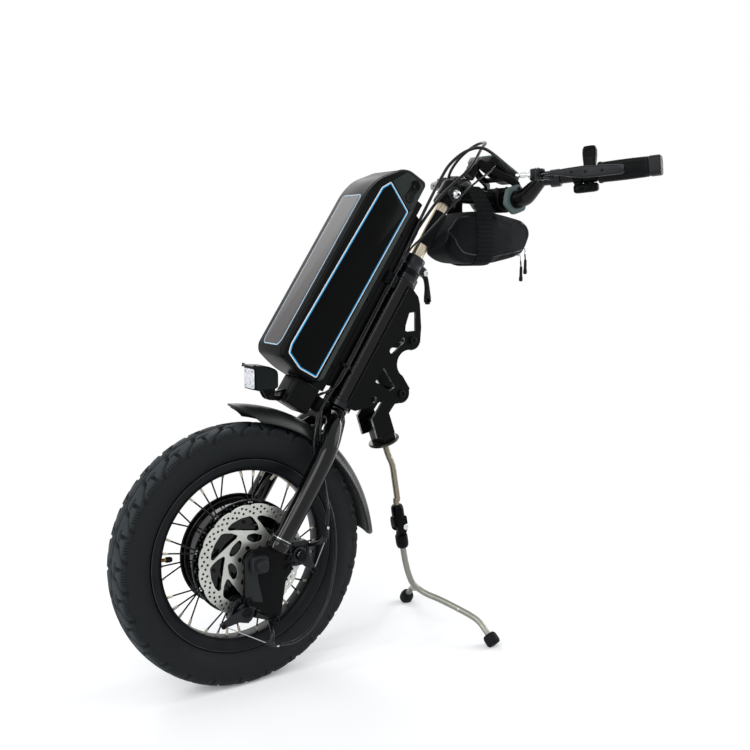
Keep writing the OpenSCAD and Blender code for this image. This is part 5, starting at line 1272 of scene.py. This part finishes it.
class POWERASSIST_OT_stand(bpy.types.Operator):
    """Builds the folding stand"""

    bl_idname = "power_assist.stand"
    bl_label = "Stand"

    def execute(self, context):
        top = STAND_TOP
        reach = 430 - top.x
        socket = Form()
        socket.join(block(26, 41.9, 46, 1.2), "satin_black", ON_STAND @ place(0, 0, 27))
        for y in (-21, 21):
            socket.screw(ON_STAND @ place(0, y, 34) @ turn("X", 90 if y < 0 else -90), 4, 1.6)
        socket.done("stand_mount", "frame", ["stand_socket"])

        post = Form()
        up = ON_STAND.to_3x3() @ Vector((0, 0, 1))
        tilted = ON_KNUCKLE.to_3x3()
        line = [top + 20 * up, top]
        line += [Vector((top.x + a * reach, 0, b * top.z)) for a, b in ((0.062, 0.929), (0.123, 0.878), (0.158, 0.804),
                                                                         (0.2, 0.7))]
        line += [KNUCKLE + tilted @ Vector((-5, 0, 52)), KNUCKLE + tilted @ Vector((-5, 0, 33))]
        post.join(tube(flow(line, 4), 5.5, 24), "warm_grey_metal")
        disc = [(0, 4), (24, 4), (27.4, 3), (28.4, 0.8), (27, -1.2), (15, -3), (9, -5), (7, -8), (5, -8.4)]
        post.join(lathe(rounded(disc, 1, 3, closed=False), 56), "dish_dark", ON_STAND)
        post.done("stand_upper_tube", "frame", ["stand_post"])

        knuckle = Form()
        sleeve = [(5.1, 42), (8.4, 42), (10.6, 39), (11.5, 34), (11.5, 17), (5.1, 17)]
        knuckle.join(lathe(rounded(sleeve, 1.6, 3, closed=False), 36), "gloss_plastic", ON_KNUCKLE @ place(-5, 0, 0))
        for y in (-7.9, 7.9):
            ear = rounded([(-16.5, 20), (-16.5, -4), (-11, -9), (3, -9), (6.5, -4), (6.5, 20)], 4, 4)
            knuckle.join(flat([ear], 5.2, 0.9), "gloss_plastic", ON_KNUCKLE @ turn("X", 90) @ place(0, 0, y))
        knuckle.join(block(3, 15, 14, 1), "gloss_plastic", ON_KNUCKLE @ place(-17.6, 0, 10))
        pin = [(0, 3.4), (4.6, 3.4), (5.5, 2.6), (5.5, 0), (0, 0)]
        knuckle.join(lathe(rounded(pin, 0.6, 3, closed=False), 28), "silver_alloy", ON_KNUCKLE @ place(0, -10.5, 0) @ turn("X", 90))
        knuckle.join(rod((0, -10.5, 0), (0, 10.6, 0), 3.5), "plain_steel", ON_KNUCKLE)
        knuckle.done("stand_hinge", "frame", ["stand_knuckle"])

        ferrule = Form()
        sleeve = [(5.1, -41), (8.6, -41), (10.6, -38), (11.5, -33), (11.5, -17), (6, -16), (5.1, -16)]
        ferrule.join(lathe(rounded(sleeve, 1.4, 3, closed=False), 36), "satin_plastic", ON_KNUCKLE @ place(-5, 0, 0))
        tongue = rounded([(-14, -18), (-9, 0), (-6, 6.4), (0, 9), (6.4, 6.4), (9, 0), (4, -18)], 5, 4)
        ferrule.join(flat([tongue, circle(0, 0, 3.6, 20)], 10, 0.8), "satin_plastic", ON_KNUCKLE @ turn("X", 90))
        ferrule.done("stand_sleeve", "stand", ["stand_ferrule"])

        leg = Form()
        span = 430 - KNUCKLE.x
        start = [KNUCKLE + tilted @ Vector((-5, 0, -33)), KNUCKLE + tilted @ Vector((-5, 0, -47))]
        shares = [(0.075, 0, 0.663), (0.15, 0, 0.538), (0.255, 0, 0.4375), (0.396, 0.12, 0.365), (0.575, 0.338, 0.317),
                  (0.887, 0.714, 0.207), (0.962, 0.887, 0.12)]
        points = start + [Vector((KNUCKLE.x + a * span, b * 133, c * KNUCKLE.z)) for a, b, c in shares]
        points.append(Vector((430, 133, 9)))
        for side in (-1, 1):
            line = [Vector((p.x, side * p.y, p.z)) for p in points]
            leg.join(tube(flow(line if side < 0 else line[4:], 5), 5.5 if side < 0 else 5.45, 24), "tube_silver")
            collar = (line[6] + line[7]) / 2
            run = (line[7] - line[6]).normalized()
            leg.join(rod(collar - run, collar + run, 5.8, sides=24), "plain_steel")
        leg.done("stand_lower_tube", "stand", ["stand_leg"])

        feet = Form()
        for side in (-1, 1):
            end = Vector((430, side * 133, 9))
            before = Vector((points[-2].x, side * points[-2].y, points[-2].z))
            run = (end - before).normalized()
            at = Matrix.Translation(end) @ run.to_track_quat("Z", "Y").to_matrix().to_4x4()
            low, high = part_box("stand_feet")
            shape = [(5.1, -15), (9.5, -15), (12.6, -11), (13, -5), (13, 3), (10.6, 6.6), (7, 7), (0, 7)]
            bm = lathe(rounded(shape, 2.4, 4, closed=False), 36)
            bm.transform(at)
            for vert in bm.verts:
                vert.co.z = max(vert.co.z, low.z / MM)
            feet.join(bm, "black_rubber")
        feet.done("stand_pads", "stand", ["stand_feet"], 50)
        return {"FINISHED"}


class POWERASSIST_OT_column(bpy.types.Operator):
    """Builds the sliding column and the stem"""

    bl_idname = "power_assist.column"
    bl_label = "Column and stem"

    def execute(self, context):
        column = Form()
        column.join(lathe([(10, 470), (12.5, 470), (12.5, 745), (10, 745)], 48), "champagne_alloy", STEER)
        for k in range(9):
            column.join(tube([(*polar(12.45, a), 604 + 10 * k) for a in range(60, 121, 6)], 0.35, 6), "black_steel", STEER)
        column.done("column_bar", "bars", ["column_tube"])

        stem = Form()
        hub = [(12.6, 701), (18.6, 701), (20, 702.4), (20, 712), (19.2, 713), (19.2, 716), (20, 717), (20, 742), (17.4, 746.4),
               (10, 748), (0, 748)]
        stem.join(lathe(rounded(hub, 0.8, 3, closed=False), 56), "satin_black", STEER)
        stem.screw(STEER @ place(0, 0, 747.6), 6, 2)
        neck = STEER @ Vector((0, 0, 725))
        away = BAR_CENTRE - neck
        rings = []
        for k in range(9):
            share = k / 8
            spot = neck + away * share
            wide = 13 + 2.5 * math.cos(math.tau * share)
            tall = 14 - 1.5 * math.sin(math.pi * share)
            up = away.cross(Vector((0, 1, 0))).normalized()
            shape = rounded([(wide, tall), (-wide, tall), (-wide, -tall), (wide, -tall)], 9, 5)
            rings.append([spot + Vector((0, p[0], 0)) + up * p[1] for p in shape])
        stem.join(loft(rings), "satin_black")
        across = COCKPIT @ turn("X", 90)
        jaw = [(16, -22), (21.6, -22), (23, -20.5), (23, -1), (22.2, 0), (23, 1), (23, 20.5), (21.6, 22), (16, 22)]
        stem.join(lathe(rounded(jaw, 0.7, 3, closed=False), 56), "satin_black", across)
        for y in (-14, 14):
            for tilt in (20, 118):
                stem.screw(COCKPIT @ place(0, y, 0) @ turn("Y", tilt) @ place(0, 0, 22), 4, 3.4)
        side = Matrix.Translation(STEER @ Vector((0, 0, 723))) @ turn("X", 90)
        boss = [(9.5, 14), (13, 14), (14, 16), (14, 21), (13, 22), (9, 22)]
        stem.join(lathe(rounded(boss, 0.8, 3, closed=False), 40), "dark_alloy", side)
        for k in range(26):
            stem.join(rod((*polar(13.6, 360 / 26 * k), 16.4), (*polar(13.6, 360 / 26 * k), 20.8), 0.8, sides=6), "dark_alloy", side)
        dome = [(0, 29.6), (4, 29.2), (7, 27.6), (8.8, 25), (9, 22), (0, 22)]
        stem.join(lathe(rounded(dome, 1.2, 4, closed=False), 36), "silver_alloy", side)
        stem.join(lathe([(0, 30.1), (2.6, 30.1), (2.6, 28.6), (0, 28.6)], 6), "black_steel", side)
        stem.done("stem_body", "bars", ["stem"])
        return {"FINISHED"}


class POWERASSIST_OT_bars(bpy.types.Operator):
    """Builds the handlebar, the grips and the throttle"""

    bl_idname = "power_assist.bars"
    bl_label = "Handlebar"

    def execute(self, context):
        bar = Form()
        bend = Vector((4, 70, 5))
        start = GRIP_START - 88 * BAR_DIR
        half = [Vector((0, 35, 0)), Vector((0, 50.5, 0)), Vector((0, 55, 0)), bend, (bend + start) / 2, start,
                GRIP_START - 78 * BAR_DIR, GRIP_START, Vector((112, 271.5, 50))]
        left = [Vector((p.x, -p.y, p.z)) for p in reversed(half)]
        line = flow(left + [Vector((0, 0, 0))] + half, 6)
        radii = []
        for p in line:
            share = min(max((abs(p.y) - 70) / 38, 0), 1)
            radii.append((15.9 - 4.8 * share) / 15.9)
        bar.join(tube(line, 15.9, 32, radii), "tube_black", COCKPIT)
        bar.done("handlebar_tube", "bars", ["handlebar"], 60)

        grips = Form()
        ribs = context.scene.power_assist.grip_ribs
        for side in (-1, 1):
            at = on_bar(side, 11.96)
            profile = [(11.2, 0), (17.6, 0), (18.4, 1.5), (18.4, 6), (17.2, 7.2)]
            for k in range(ribs):
                base = 8 + 72 * k / ribs
                wide = 72 / ribs
                swell = 0.5 * math.sin(math.pi * (k + 0.5) / ribs)
                profile += [(16.7 + swell, base), (17.5 + swell, base + 0.25 * wide), (17.5 + swell, base + 0.7 * wide),
                            (16.7 + swell, base + 0.95 * wide)]
            profile += [(17.2, 81), (17.2, 84), (15, 86), (15, 95.8), (11.2, 95.8)]
            grips.join(lathe(profile, 48), "black_rubber", at)
            for a in range(0, 360, 30):
                if a % 90:
                    grips.join(tube([(*polar(17.55, a), 9), (*polar(18.1, a), 44), (*polar(17.55, a), 79)], 0.7, 6),
                               "black_rubber", at)
            square = rounded([polar(24, 45 + 90 * k) for k in range(4)], 9, 6)
            grips.join(flat([square], 21, 3.6, 5), "cap_rubber", at @ place(0, 0, 95.4))
            ring = [(8.2, 105.8), (9.4, 106.3), (10.6, 105.8)]
            grips.join(lathe(ring, 32), "gloss_plastic", at)
        grips.done("grip_sleeves", "bars", ["grips"], 50)

        body = Form()
        at = on_bar(-1, -32)
        collar = [(11.2, 0), (14, 0), (15, 1), (15, 15), (14, 16), (11.2, 16)]
        body.join(lathe(rounded(collar, 0.9, 3, closed=False), 40), "satin_plastic", at)
        body.join(block(14, 12, 14, 2.4, 4), "satin_plastic", at @ place(17, 0, 8))
        pod = []
        for z, size in ((0, 0.72), (2.5, 0.94), (8, 1), (34, 1), (39.5, 0.9), (42, 0.62)):
            pod.append([Vector((23.3 + p[0] * size, p[1] * size, z))
                        for p in rounded([(8, 10), (-8, 10), (-8, -10), (8, -10)], 7, 6)])
        body.join(loft(pod), "satin_plastic", at)
        for z in (14, 28):
            body.join(flat([rounded([(-4, -4), (4, -4), (4, 4), (-4, 4)], 2.4, 4)], 2.4, 0.8), "gloss_plastic",
                      at @ place(23.3, 9.6, z) @ turn("X", 90))
        body.screw(at @ place(14, 6.4, 8) @ turn("X", -90), 2.6, 1.6)
        body.done("throttle_pod", "bars", ["throttle_body"])

        paddle = Form()
        at = on_bar(-1, -15.7)
        collar = [(11.5, 0.2), (14, 0.2), (15, 1.2), (15, 23.8), (14, 24.8), (11.5, 24.8)]
        paddle.join(lathe(rounded(collar, 0.9, 3, closed=False), 40), "satin_plastic", at)
        blade = []
        for x, size in ((-10, 0.9), (-18, 0.94), (-27, 1.02), (-36, 1.08), (-44, 1.06), (-48.6, 0.9), (-50, 0.6)):
            shape = rounded([(8.5, 11.5), (-8.5, 11.5), (-8.5, -11.5), (8.5, -11.5)], 6, 6)
            blade.append([Vector((x, p[0] * size, 12.5 + p[1] * size)) for p in shape])
        paddle.join(loft(blade), "satin_plastic", at @ turn("Z", 16))
        for k in range(5):
            paddle.join(rod((-30 - 3.2 * k, 8.9, 6), (-30 - 3.2 * k, 8.9, 19), 0.7, sides=8), "satin_plastic", at @ turn("Z", 16))
        paddle.done("throttle_paddle", "throttle_lever", ["throttle_lever"])
        return {"FINISHED"}


class POWERASSIST_OT_levers(bpy.types.Operator):
    """Builds the brake levers and their perches"""

    bl_idname = "power_assist.levers"
    bl_label = "Brake levers"

    def execute(self, context):
        perches = Form()
        pivot = Vector((-26, 130, 38))
        root = GRIP_START - 63 * BAR_DIR
        for side in (-1, 1):
            mirror = COCKPIT @ (MIRROR if side < 0 else Matrix())
            collar = [(11.2, -9), (14.4, -9), (15.5, -8), (15.5, 8), (14.4, 9), (11.2, 9)]
            perches.join(lathe(rounded(collar, 0.9, 3, closed=False), 40), "dark_alloy", on_bar(side, -63))
            for z in (-4.5, 4.5):
                perches.screw(on_bar(side, -63) @ place(0, -14.6, z) @ turn("X", 90), 2.8, 2.4)
            perches.join(tube(flow([root, (root + pivot) / 2 + Vector((0, 0, 1)), pivot], 4), 7, 16,
                              [1.15 - 0.25 * k / 8 for k in range(9)]), "dark_alloy", mirror)
            for z in (-7, 7):
                cap = rounded([(0, -3), (11.6, -3), (13, -1.6), (13, 1.6), (11.6, 3), (0, 3)], 1, 3, closed=False)
                perches.join(lathe(cap, 36), "dark_alloy", mirror @ Matrix.Translation(pivot + Vector((0, 0, z))))
            perches.join(block(9, 15, 19, 2, 3), "dark_alloy", mirror @ Matrix.Translation(pivot + Vector((-8.5, 2, 0))))
            perches.screw(mirror @ Matrix.Translation(pivot + Vector((0, 0, 10))), 4.4, 2.4, "plain_steel")
            perches.join(rod(pivot - Vector((0, 0, 10)), pivot + Vector((0, 0, 10)), 3), "plain_steel", mirror)
            start = pivot + 36 * Vector((-0.11, -0.28, 0))
            end = pivot + 36 * Vector((-0.556, -0.917, 0))
            heading = Matrix.Translation(start) @ (end - start).to_track_quat("Z", "Y").to_matrix().to_4x4()
            barrel = [(1, 0), (5.4, 0), (5.4, 5), (3.4, 5.6), (3.4, 9), (4.5, 9.4), (4.5, 20), (3.4, 21), (3.4, 27.6), (1, 27.6)]
            perches.join(lathe(rounded(barrel, 0.4, 2, closed=False), 28), "silver_alloy", mirror @ heading)
            for k in range(16):
                spot = polar(4.45, 22.5 * k)
                perches.join(rod((*spot, 9.8), (*spot, 19.6), 0.45, sides=6), "silver_alloy", mirror @ heading)
        perches.done("lever_clamps", "bars", ["lever_perches"])

        points = [pivot, pivot + 143 * Vector((0.098, 0.21, 0.014)), pivot + 143 * Vector((0.28, 0.524, 0.014)),
                  pivot + 143 * Vector((0.476, 0.902, 0.028))]
        line = flow(points, 7)
        line.append(line[-1] + (line[-1] - line[-2]).normalized() * 4.2)
        for side, name in ((-1, "brake_lever_left"), (1, "brake_lever_right")):
            mirror = COCKPIT @ (MIRROR if side < 0 else Matrix())
            lever = Form()
            heights = []
            for i in range(len(line)):
                share = i / (len(line) - 2)
                rise = 3.8 + 6.6 * min(max((share - 0.34) / 0.3, 0), 1) ** 0.8
                fall = 2.6 * max(share - 0.66, 0) / 0.34
                heights.append(rise - fall)
            heights[-1] = 5
            lever.join(ribbon(line, (0, 0, 1), 4.2, heights), "dark_alloy", mirror)
            eye = rounded([(3.1, -3.6), (8, -3.6), (8, 3.6), (3.1, 3.6)], 0.8, 3, closed=False)
            lever.join(lathe(eye, 32), "dark_alloy", mirror @ Matrix.Translation(pivot))
            for i in (11, 14, 17):
                lever.join(ball(2.6, 0.5, 12), "black_steel", mirror @ Matrix.Translation(line[i] + Vector((-3.6, 2.2, 0)))
                           @ turn("Z", 57) @ turn("X", 90))
            lever.done(name + "_blade", name, [name], 50)
        return {"FINISHED"}


class POWERASSIST_OT_display(bpy.types.Operator):
    """Builds the display, its bracket and the horn"""

    bl_idname = "power_assist.display"
    bl_label = "Display"

    def execute(self, context):
        at = COCKPIT @ place(-3, 0, 56) @ turn("Y", 29)
        body = Form()
        outline = rounded([(-30, -29), (30, -29), (38, -21), (38, 21), (30, 29), (-30, 29), (-38, 21), (-38, -21)], 5, 4)
        body.join(flat([outline], 13, 2.4, 4), "satin_plastic", at @ place(0, 0, -2.4))
        body.join(flat([outline], 3.2, 0.8), "teal_plastic", at @ place(0, 0, 5.4))
        body.join(flat([outline], 2.6, 0.6, inset=2.6), "gloss_plastic", at @ place(0, 0, 7.2))
        screen = rounded([(-26, -20), (22, -20), (22, 20), (-26, 20)], 4, 4)
        body.join(flat([screen], 1, 0.3), "screen_glass", at @ place(0, 0, 8.4))
        for y in (-12, 0, 12):
            body.join(flat([circle(29, y, 3.6, 20)], 1.6, 0.6), "black_rubber", at @ place(0, 0, 8.4))
        for y in (-29, 29):
            body.join(block(40, 1.6, 3, 0.6, 2), "black_rubber", at @ place(0, y, -3))
        body.done("display_unit", "bars", ["display"])

        bracket = Form()
        across = COCKPIT @ turn("X", 90)
        front = Vector((-56.3, 0, 66))
        back = Vector((6, 0, 28.1))
        for side in (-1, 1):
            ring = [polar(28.5, 60 * k + 18) for k in range(6)]
            bracket.join(flat([rounded(ring, 5, 4), circle(0, 0, 16, 40)], 9, 1.2), "teal_plastic", across @ place(0, 0, 46 * side))
            bracket.screw(across @ place(*polar(20.5, 78), 46 * side + 4.4 * side) @ turn("X", 0 if side > 0 else 180), 3.2, 2.2)
            arm = [front + Vector((0, -10 * side, 0)), (front + back) / 2 + Vector((-2, -27 * side, 0)),
                   back + Vector((0, -40 * side, 0)), Vector((0, -46 * side, 0))]
            line = flow(arm, 5)
            bracket.join(ribbon(line[:-4], (0.4, 0, 1), 3.2, [7.4] * len(line)), "satin_black", COCKPIT)
        hexagon = [polar(12, 60 * k) for k in range(6)]
        bracket.join(flat([rounded(hexagon, 2, 3)], 20, 1.2, 3), "gunmetal", across @ place(front.x, front.z, 0))
        for y in (-10, 10):
            bracket.screw(across @ place(front.x, front.z, y) @ turn("X", 0 if y > 0 else 180), 4.4, 2)
        drop = Vector((0.485, 0, 0.875))
        rest = Vector((-3, 0, 56)) - 14.3 * drop + 10 * Vector((0.875, 0, -0.485))
        bracket.join(rod(rest - Vector((0, 36, 0)), rest + Vector((0, 36, 0)), 5, sides=20), "satin_black", COCKPIT)
        horn_start = Vector((-74, 0, 40))
        horn_end = Vector((-57.6, 0, 63.7))
        heading = Matrix.Translation(horn_start) @ (horn_end - horn_start).to_track_quat("Z", "Y").to_matrix().to_4x4()
        length = (horn_end - horn_start).length
        shell = [(0, 1.2), (8.8, 0.8), (9.2, 0), (10.6, 0), (11, 1), (11, 9), (10, 10), (10, 12), (11, 13), (11, length - 3),
                 (8.5, length), (0, length)]
        bracket.join(lathe(rounded(shell, 0.6, 2, closed=False), 36), "satin_plastic", COCKPIT @ heading)
        bracket.join(rod(horn_end, front, 6, sides=16), "satin_plastic", COCKPIT)
        bracket.done("display_mount", "bars", ["display_bracket"])
        return {"FINISHED"}


class POWERASSIST_OT_bag(bpy.types.Operator):
    """Fills the bag, then sews its piping, zip and strap"""

    bl_idname = "power_assist.bag"
    bl_label = "Bag"

    def execute(self, context):
        shares = [(-0.75, 0.17), (-0.6, 0.02), (-0.41, 0), (0.17, 0.12), (0.31, 0.48), (0.22, 0.68), (-0.285, 0.79),
                  (-0.54, 0.8)]
        corners = [(200 * a, 117 * (b - 1)) for a, b in shares]
        swell = context.scene.power_assist.bag_swell / MM
        shape = flat([rounded(corners, 22, 6)], 84 - 0.8 * swell, 12, 5)
        shape.transform(turn("X", 90))
        for vert in shape.verts:
            narrow = min(max((vert.co.x + 16) / 78, 0), 1)
            vert.co.y *= 1 - 0.36 * narrow
        form = Form()
        form.join(shape, "bag_fabric", COCKPIT)
        bag = form.done("bag_shell", "", ["bag"], 70)
        self.fill(context, bag, swell * MM)
        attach(bag, "bars")

        bm = bmesh.new()
        bm.from_mesh(bag.data)
        skin = BVHTree.FromBMesh(bm)
        bm.free()

        def sewn(points, side, lift):
            line = []
            for x, z in points:
                far = (COCKPIT @ Vector((x, side * 70, z))) * MM
                hit, normal, _, _ = skin.ray_cast(far, Vector((0, -side, 0)))
                if hit is None:
                    hit, normal, _, _ = skin.find_nearest((COCKPIT @ Vector((x, side * 20, z))) * MM)
                line.append(hit)
            for _ in range(6):
                inner = [(a + 2 * b + c) / 4 for a, b, c in zip(line, line[1:], line[2:])]
                line = [line[0]] + inner + [line[-1]]
            snapped = [skin.find_nearest(spot) for spot in line]
            return [(hit + normal * lift * MM) / MM for hit, normal, _, _ in snapped]

        trim = Form()
        panel = flow([Vector(p) for p in ((-102, -32), (-118, -38), (-128, -52), (-131, -68), (-127, -86), (-112, -97), (-75, -101))], 8)
        rear = flow([Vector(p) for p in ((28, -42), (42, -46), (50, -58), (46, -76), (34, -98))], 8)
        lower = flow([Vector(p) for p in ((-50, -104), (-10, -98), (24, -93), (34, -90))], 6)
        for side in (-1, 1):
            for path, width in ((panel, 1.7), (rear, 1.7), (lower, 1.0)):
                trim.join(tube(flow(sewn([(p.x, p.y) for p in path], side, 0.5), 2), width, 10), "piping")
        zipline = flow([Vector(p) for p in ((36, -44), (49, -47), (57, -58), (52, -77), (40, -98))], 8)
        for side in (-1, 1):
            teeth = sewn([(p.x - 2, p.y) for p in zipline], side, 0.5)
            for k, spot in enumerate(flow(teeth, 3)):
                if k % 2 == 0:
                    trim.join(ball(1.0, 0.8, 6), "black_steel", Matrix.Translation(spot))
        for x, z in ((46, -84), (36, -100)):
            spot = sewn([(x, z)], -1, 1.5)[0]
            low = spot + Vector((2, -3, -14))
            trim.join(block(7, 4, 9, 1.2), "plain_steel", Matrix.Translation(spot))
            trim.join(tube(flow([spot, (spot + low) / 2 + Vector((1.5, -1.5, 0)), low], 4), 1.2, 8), "plain_steel")
            trim.join(tube(flow([low, low + Vector((1.5, 0, -12))], 3), 1.3, 8), "strap_webbing")
            pull = lathe(rounded([(0, 0), (2.6, 0), (3.2, -4), (3.4, -18), (4.4, -22), (4.2, -27), (0, -28.5)], 1.2, 3, False), 16)
            bmesh.ops.scale(pull, vec=(1, 0.6, 1), verts=pull.verts)
            trim.join(pull, "black_rubber", Matrix.Translation(low + Vector((1.5, 0, -10))))
        trim.done("bag_trim", "bars", ())

        wrap = Form()
        band = []
        for angle in range(-150, 71, 10):
            band.append(STEER @ Vector((*polar(14.4, angle), 650)))
        wrap.join(ribbon(band, STEER.to_3x3() @ Vector((0, 0, 1)), 1.2, [34] * len(band)), "bag_fabric")
        tabs = [STEER @ Vector((13, y, u)) for y, u in ((-13, 640), (-20, 634), (-27, 622))]
        wrap.join(ribbon(tabs, STEER.to_3x3() @ Vector((0, 0, 1)), 1.5, [22, 24, 20]), "bag_fabric")
        wrap.done("bag_wrap", "bars", (), 60)

        strap = Form()
        loop = [(-43.4, -70), (-43.6, -22), (-34, 2), (-22, 19), (-10, 22), (10, 22), (22, 19), (34, 2), (43.6, -22), (43.4, -70),
                (41, -108), (34, -117), (0, -118.6), (-34, -117), (-41, -108)]
        line = flow([Vector((0, y, z)) for y, z in loop], 5, closed=True)
        heart = Vector((-68, 0, -70))
        for i, spot in enumerate(line):
            if spot.z < -24:
                out = Vector((0, spot.y, spot.z + 70)).normalized()
                hit = skin.ray_cast((COCKPIT @ (heart + out * 120)) * MM, -out)[0]
                line[i] = COCKPIT.inverted() @ (hit / MM) - Vector((-68, 0, 0)) + out * 1.7
        bm = bmesh.new()
        rings = []
        for i, spot in enumerate(line):
            ahead = (line[(i + 1) % len(line)] - line[i - 1]).normalized()
            out = Vector((1, 0, 0)).cross(ahead).normalized()
            across = rounded([(19, 1), (-19, 1), (-19, -1), (19, -1)], 0.9, 3)
            ring = [bm.verts.new(spot + Vector((p[0], 0, 0)) + out * p[1]) for p in across]
            rings.append([bm.edges.new((ring[k - 1], ring[k])) for k in range(len(ring))])
        for i, ring in enumerate(rings):
            bmesh.ops.bridge_loops(bm, edges=ring + rings[(i + 1) % len(rings)])
        for vert in bm.verts:
            vert.co.x -= 13 * min(max((vert.co.z + 30) / 50, 0), 1)
        strap.join(bm, "strap_webbing", COCKPIT @ place(-68, 0, 0))
        buckle = rounded([(-21, -8), (21, -8), (21, 8), (-21, 8)], 3, 4)
        opening = rounded([(-19, -4.4), (19, -4.4), (19, 4.4), (-19, 4.4)], 2, 4)
        strap.join(flat([buckle, opening], 3.2, 0.9), "satin_plastic", COCKPIT @ place(-72, 45.6, -24) @ turn("X", 100))
        strap.done("bag_belt", "bars", ["bag_strap"])
        return {"FINISHED"}

    @staticmethod
    def fill(context, bag, cap):
        """Swells the shell with a cloth simulation, capped, and keeps the result."""
        with context.temp_override(object=bag, active_object=bag, selected_objects=[bag]):
            bag.data.remesh_voxel_size = 0.005
            bpy.ops.object.voxel_remesh()
        bag.data.polygons.foreach_set("use_smooth", [True] * len(bag.data.polygons))
        before = [v.co.copy() for v in bag.data.vertices]
        cloth = bag.modifiers.new("cloth", "CLOTH")
        cloth.settings.use_pressure = True
        cloth.settings.uniform_pressure_force = 4
        cloth.settings.effector_weights.gravity = 0
        cloth.point_cache.frame_end = 20
        for step in range(1, 21):
            context.scene.frame_set(step)
        cooked = bag.evaluated_get(context.evaluated_depsgraph_get()).to_mesh()
        moved = [v.co.copy() for v in cooked.vertices]
        bag.modifiers.remove(cloth)
        context.scene.frame_set(1)
        for vert, old, new in zip(bag.data.vertices, before, moved):
            shift = new - old
            if shift.length > cap:
                shift *= cap / shift.length
            vert.co = old + shift
        smooth = bag.modifiers.new("soft", "SUBSURF")
        smooth.levels = 1
        smooth.render_levels = 1


class POWERASSIST_OT_cables(bpy.types.Operator):
    """Runs the brake cables and the display lead"""

    bl_idname = "power_assist.cables"
    bl_label = "Cables"

    def execute(self, context):
        service = [(297, -20, 674), (233, -22, 576), (176, -24, 490), (140, -28, 445), (121, -40, 408), (118, -43, 371),
                   (130, -46, 318), (145, -54, 262), (145, -60, 200), (128, -66, 135), (95, -72, 94), (58, -76, 77), (20, -76, 81)]
        parking = [(297, -13, 674), (233, -14, 576), (176, -16, 490), (146, -20, 448), (130, -39.5, 404), (129, -43.5, 362),
                   (129, -56, 318), (125, -71, 284), (119, -76, 248)]
        lead_low = [(297, -27, 674), (233, -29, 576), (176, -31, 490), (152, -27, 472), (136, -20, 465)]
        left = [(298, -20, 676), (318, -22, 712), (361, -27, 790), (383, -30, 828), (402, -32, 854), (432, -36, 876), (465, -42, 884),
                (486, -62, 866), (497, -97, 834)]
        right = [(298, -13, 676), (332, -13, 722), (358, -16, 758), (388, -22, 796), (414, -28, 821), (438, -33, 842),
                 (459, -30, 862), (484, -18, 886), (512, 4, 899), (524, 28, 903), (522, 50, 898), (508, 70, 880), (499, 88, 856),
                 (497, 97, 834)]
        lead_high = [(298, -27, 676), (322, -28, 708), (352, -30, 732), (386, -34, 764), (424, -37, 800), (462, -37, 828),
                     (496, -30, 846), (516, -24, 864)]
        form = Form()
        for low, high, radius in ((service, left, 2.8), (parking, right, 2.8), (lead_low, lead_high, 1.9)):
            route = list(reversed(low)) + high[1:]
            form.join(tube(flow(route, 7), radius, 12), "cable_black")
            for end, before in ((route[0], route[1]), (route[-1], route[-2])):
                end = Vector(end)
                back = (Vector(before) - end).normalized()
                form.join(rod(end, end + back * 12, radius + 0.8, radius + 0.3, 14), "black_rubber")
        form_piece = form.done("brake_lines", "", ["cables_lower", "cables_upper"], 60)
        low = Vector((250, -20, 602)) * MM
        high = Vector((361, -27, 790)) * MM
        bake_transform(form_piece)

        ties = Form()
        for spot, ahead, wide, tall, finish in (((284, -20, 655), (64, 2, 98), 13, 22, "strap_webbing"),
                                                ((190, -23, 511), (57, 2, 86), 10, 5, "black_rubber")):
            run = Vector(ahead).to_track_quat("Z", "Y").to_matrix().to_4x4()
            shape = rounded([(wide, 5), (-wide, 5), (-wide, -5), (wide, -5)], 4.5, 5)
            end = tall / 2
            levels = ((-end, 0.92), (1 - end, 1), (end - 1, 1), (end, 0.92))
            rings = [[Vector((p[1] * s, p[0] * s, z)) for p in shape] for z, s in levels]
            ties.join(loft(rings), finish, Matrix.Translation(spot) @ run)
        ties.done("cable_ties", "steering", ())
        return {"FINISHED"}


class POWERASSIST_PT_sidebar(bpy.types.Panel):
    """Lists the building steps"""

    bl_idname = "POWERASSIST_PT_sidebar"
    bl_label = "Power assist"
    bl_space_type = "VIEW_3D"
    bl_region_type = "UI"
    bl_category = "Power assist"

    def draw(self, context):
        column = self.layout.column()
        for step in STEPS:
            column.operator(step.bl_idname)
        for name in PowerAssistSettings.__annotations__:
            column.prop(context.scene.power_assist, name)


STEPS = (
    POWERASSIST_OT_stage, POWERASSIST_OT_finishes, POWERASSIST_OT_cables, POWERASSIST_OT_tyre, POWERASSIST_OT_wheel,
    POWERASSIST_OT_rotor, POWERASSIST_OT_fork, POWERASSIST_OT_brakes, POWERASSIST_OT_mudguard, POWERASSIST_OT_battery,
    POWERASSIST_OT_light, POWERASSIST_OT_head, POWERASSIST_OT_stand, POWERASSIST_OT_column, POWERASSIST_OT_bars,
    POWERASSIST_OT_levers, POWERASSIST_OT_display, POWERASSIST_OT_bag,
)
CLASSES = (PowerAssistSettings,) + STEPS + (POWERASSIST_PT_sidebar,)


def register():
    for item in CLASSES:
        bpy.utils.register_class(item)
    bpy.types.Scene.power_assist = PointerProperty(type=PowerAssistSettings)


def unregister():
    del bpy.types.Scene.power_assist
    for item in reversed(CLASSES):
        bpy.utils.unregister_class(item)


def main():
    register()
    for step in STEPS:
        group, name = step.bl_idname.split(".")
        getattr(getattr(bpy.ops, group), name)()


if __name__ == "__main__":
    main()
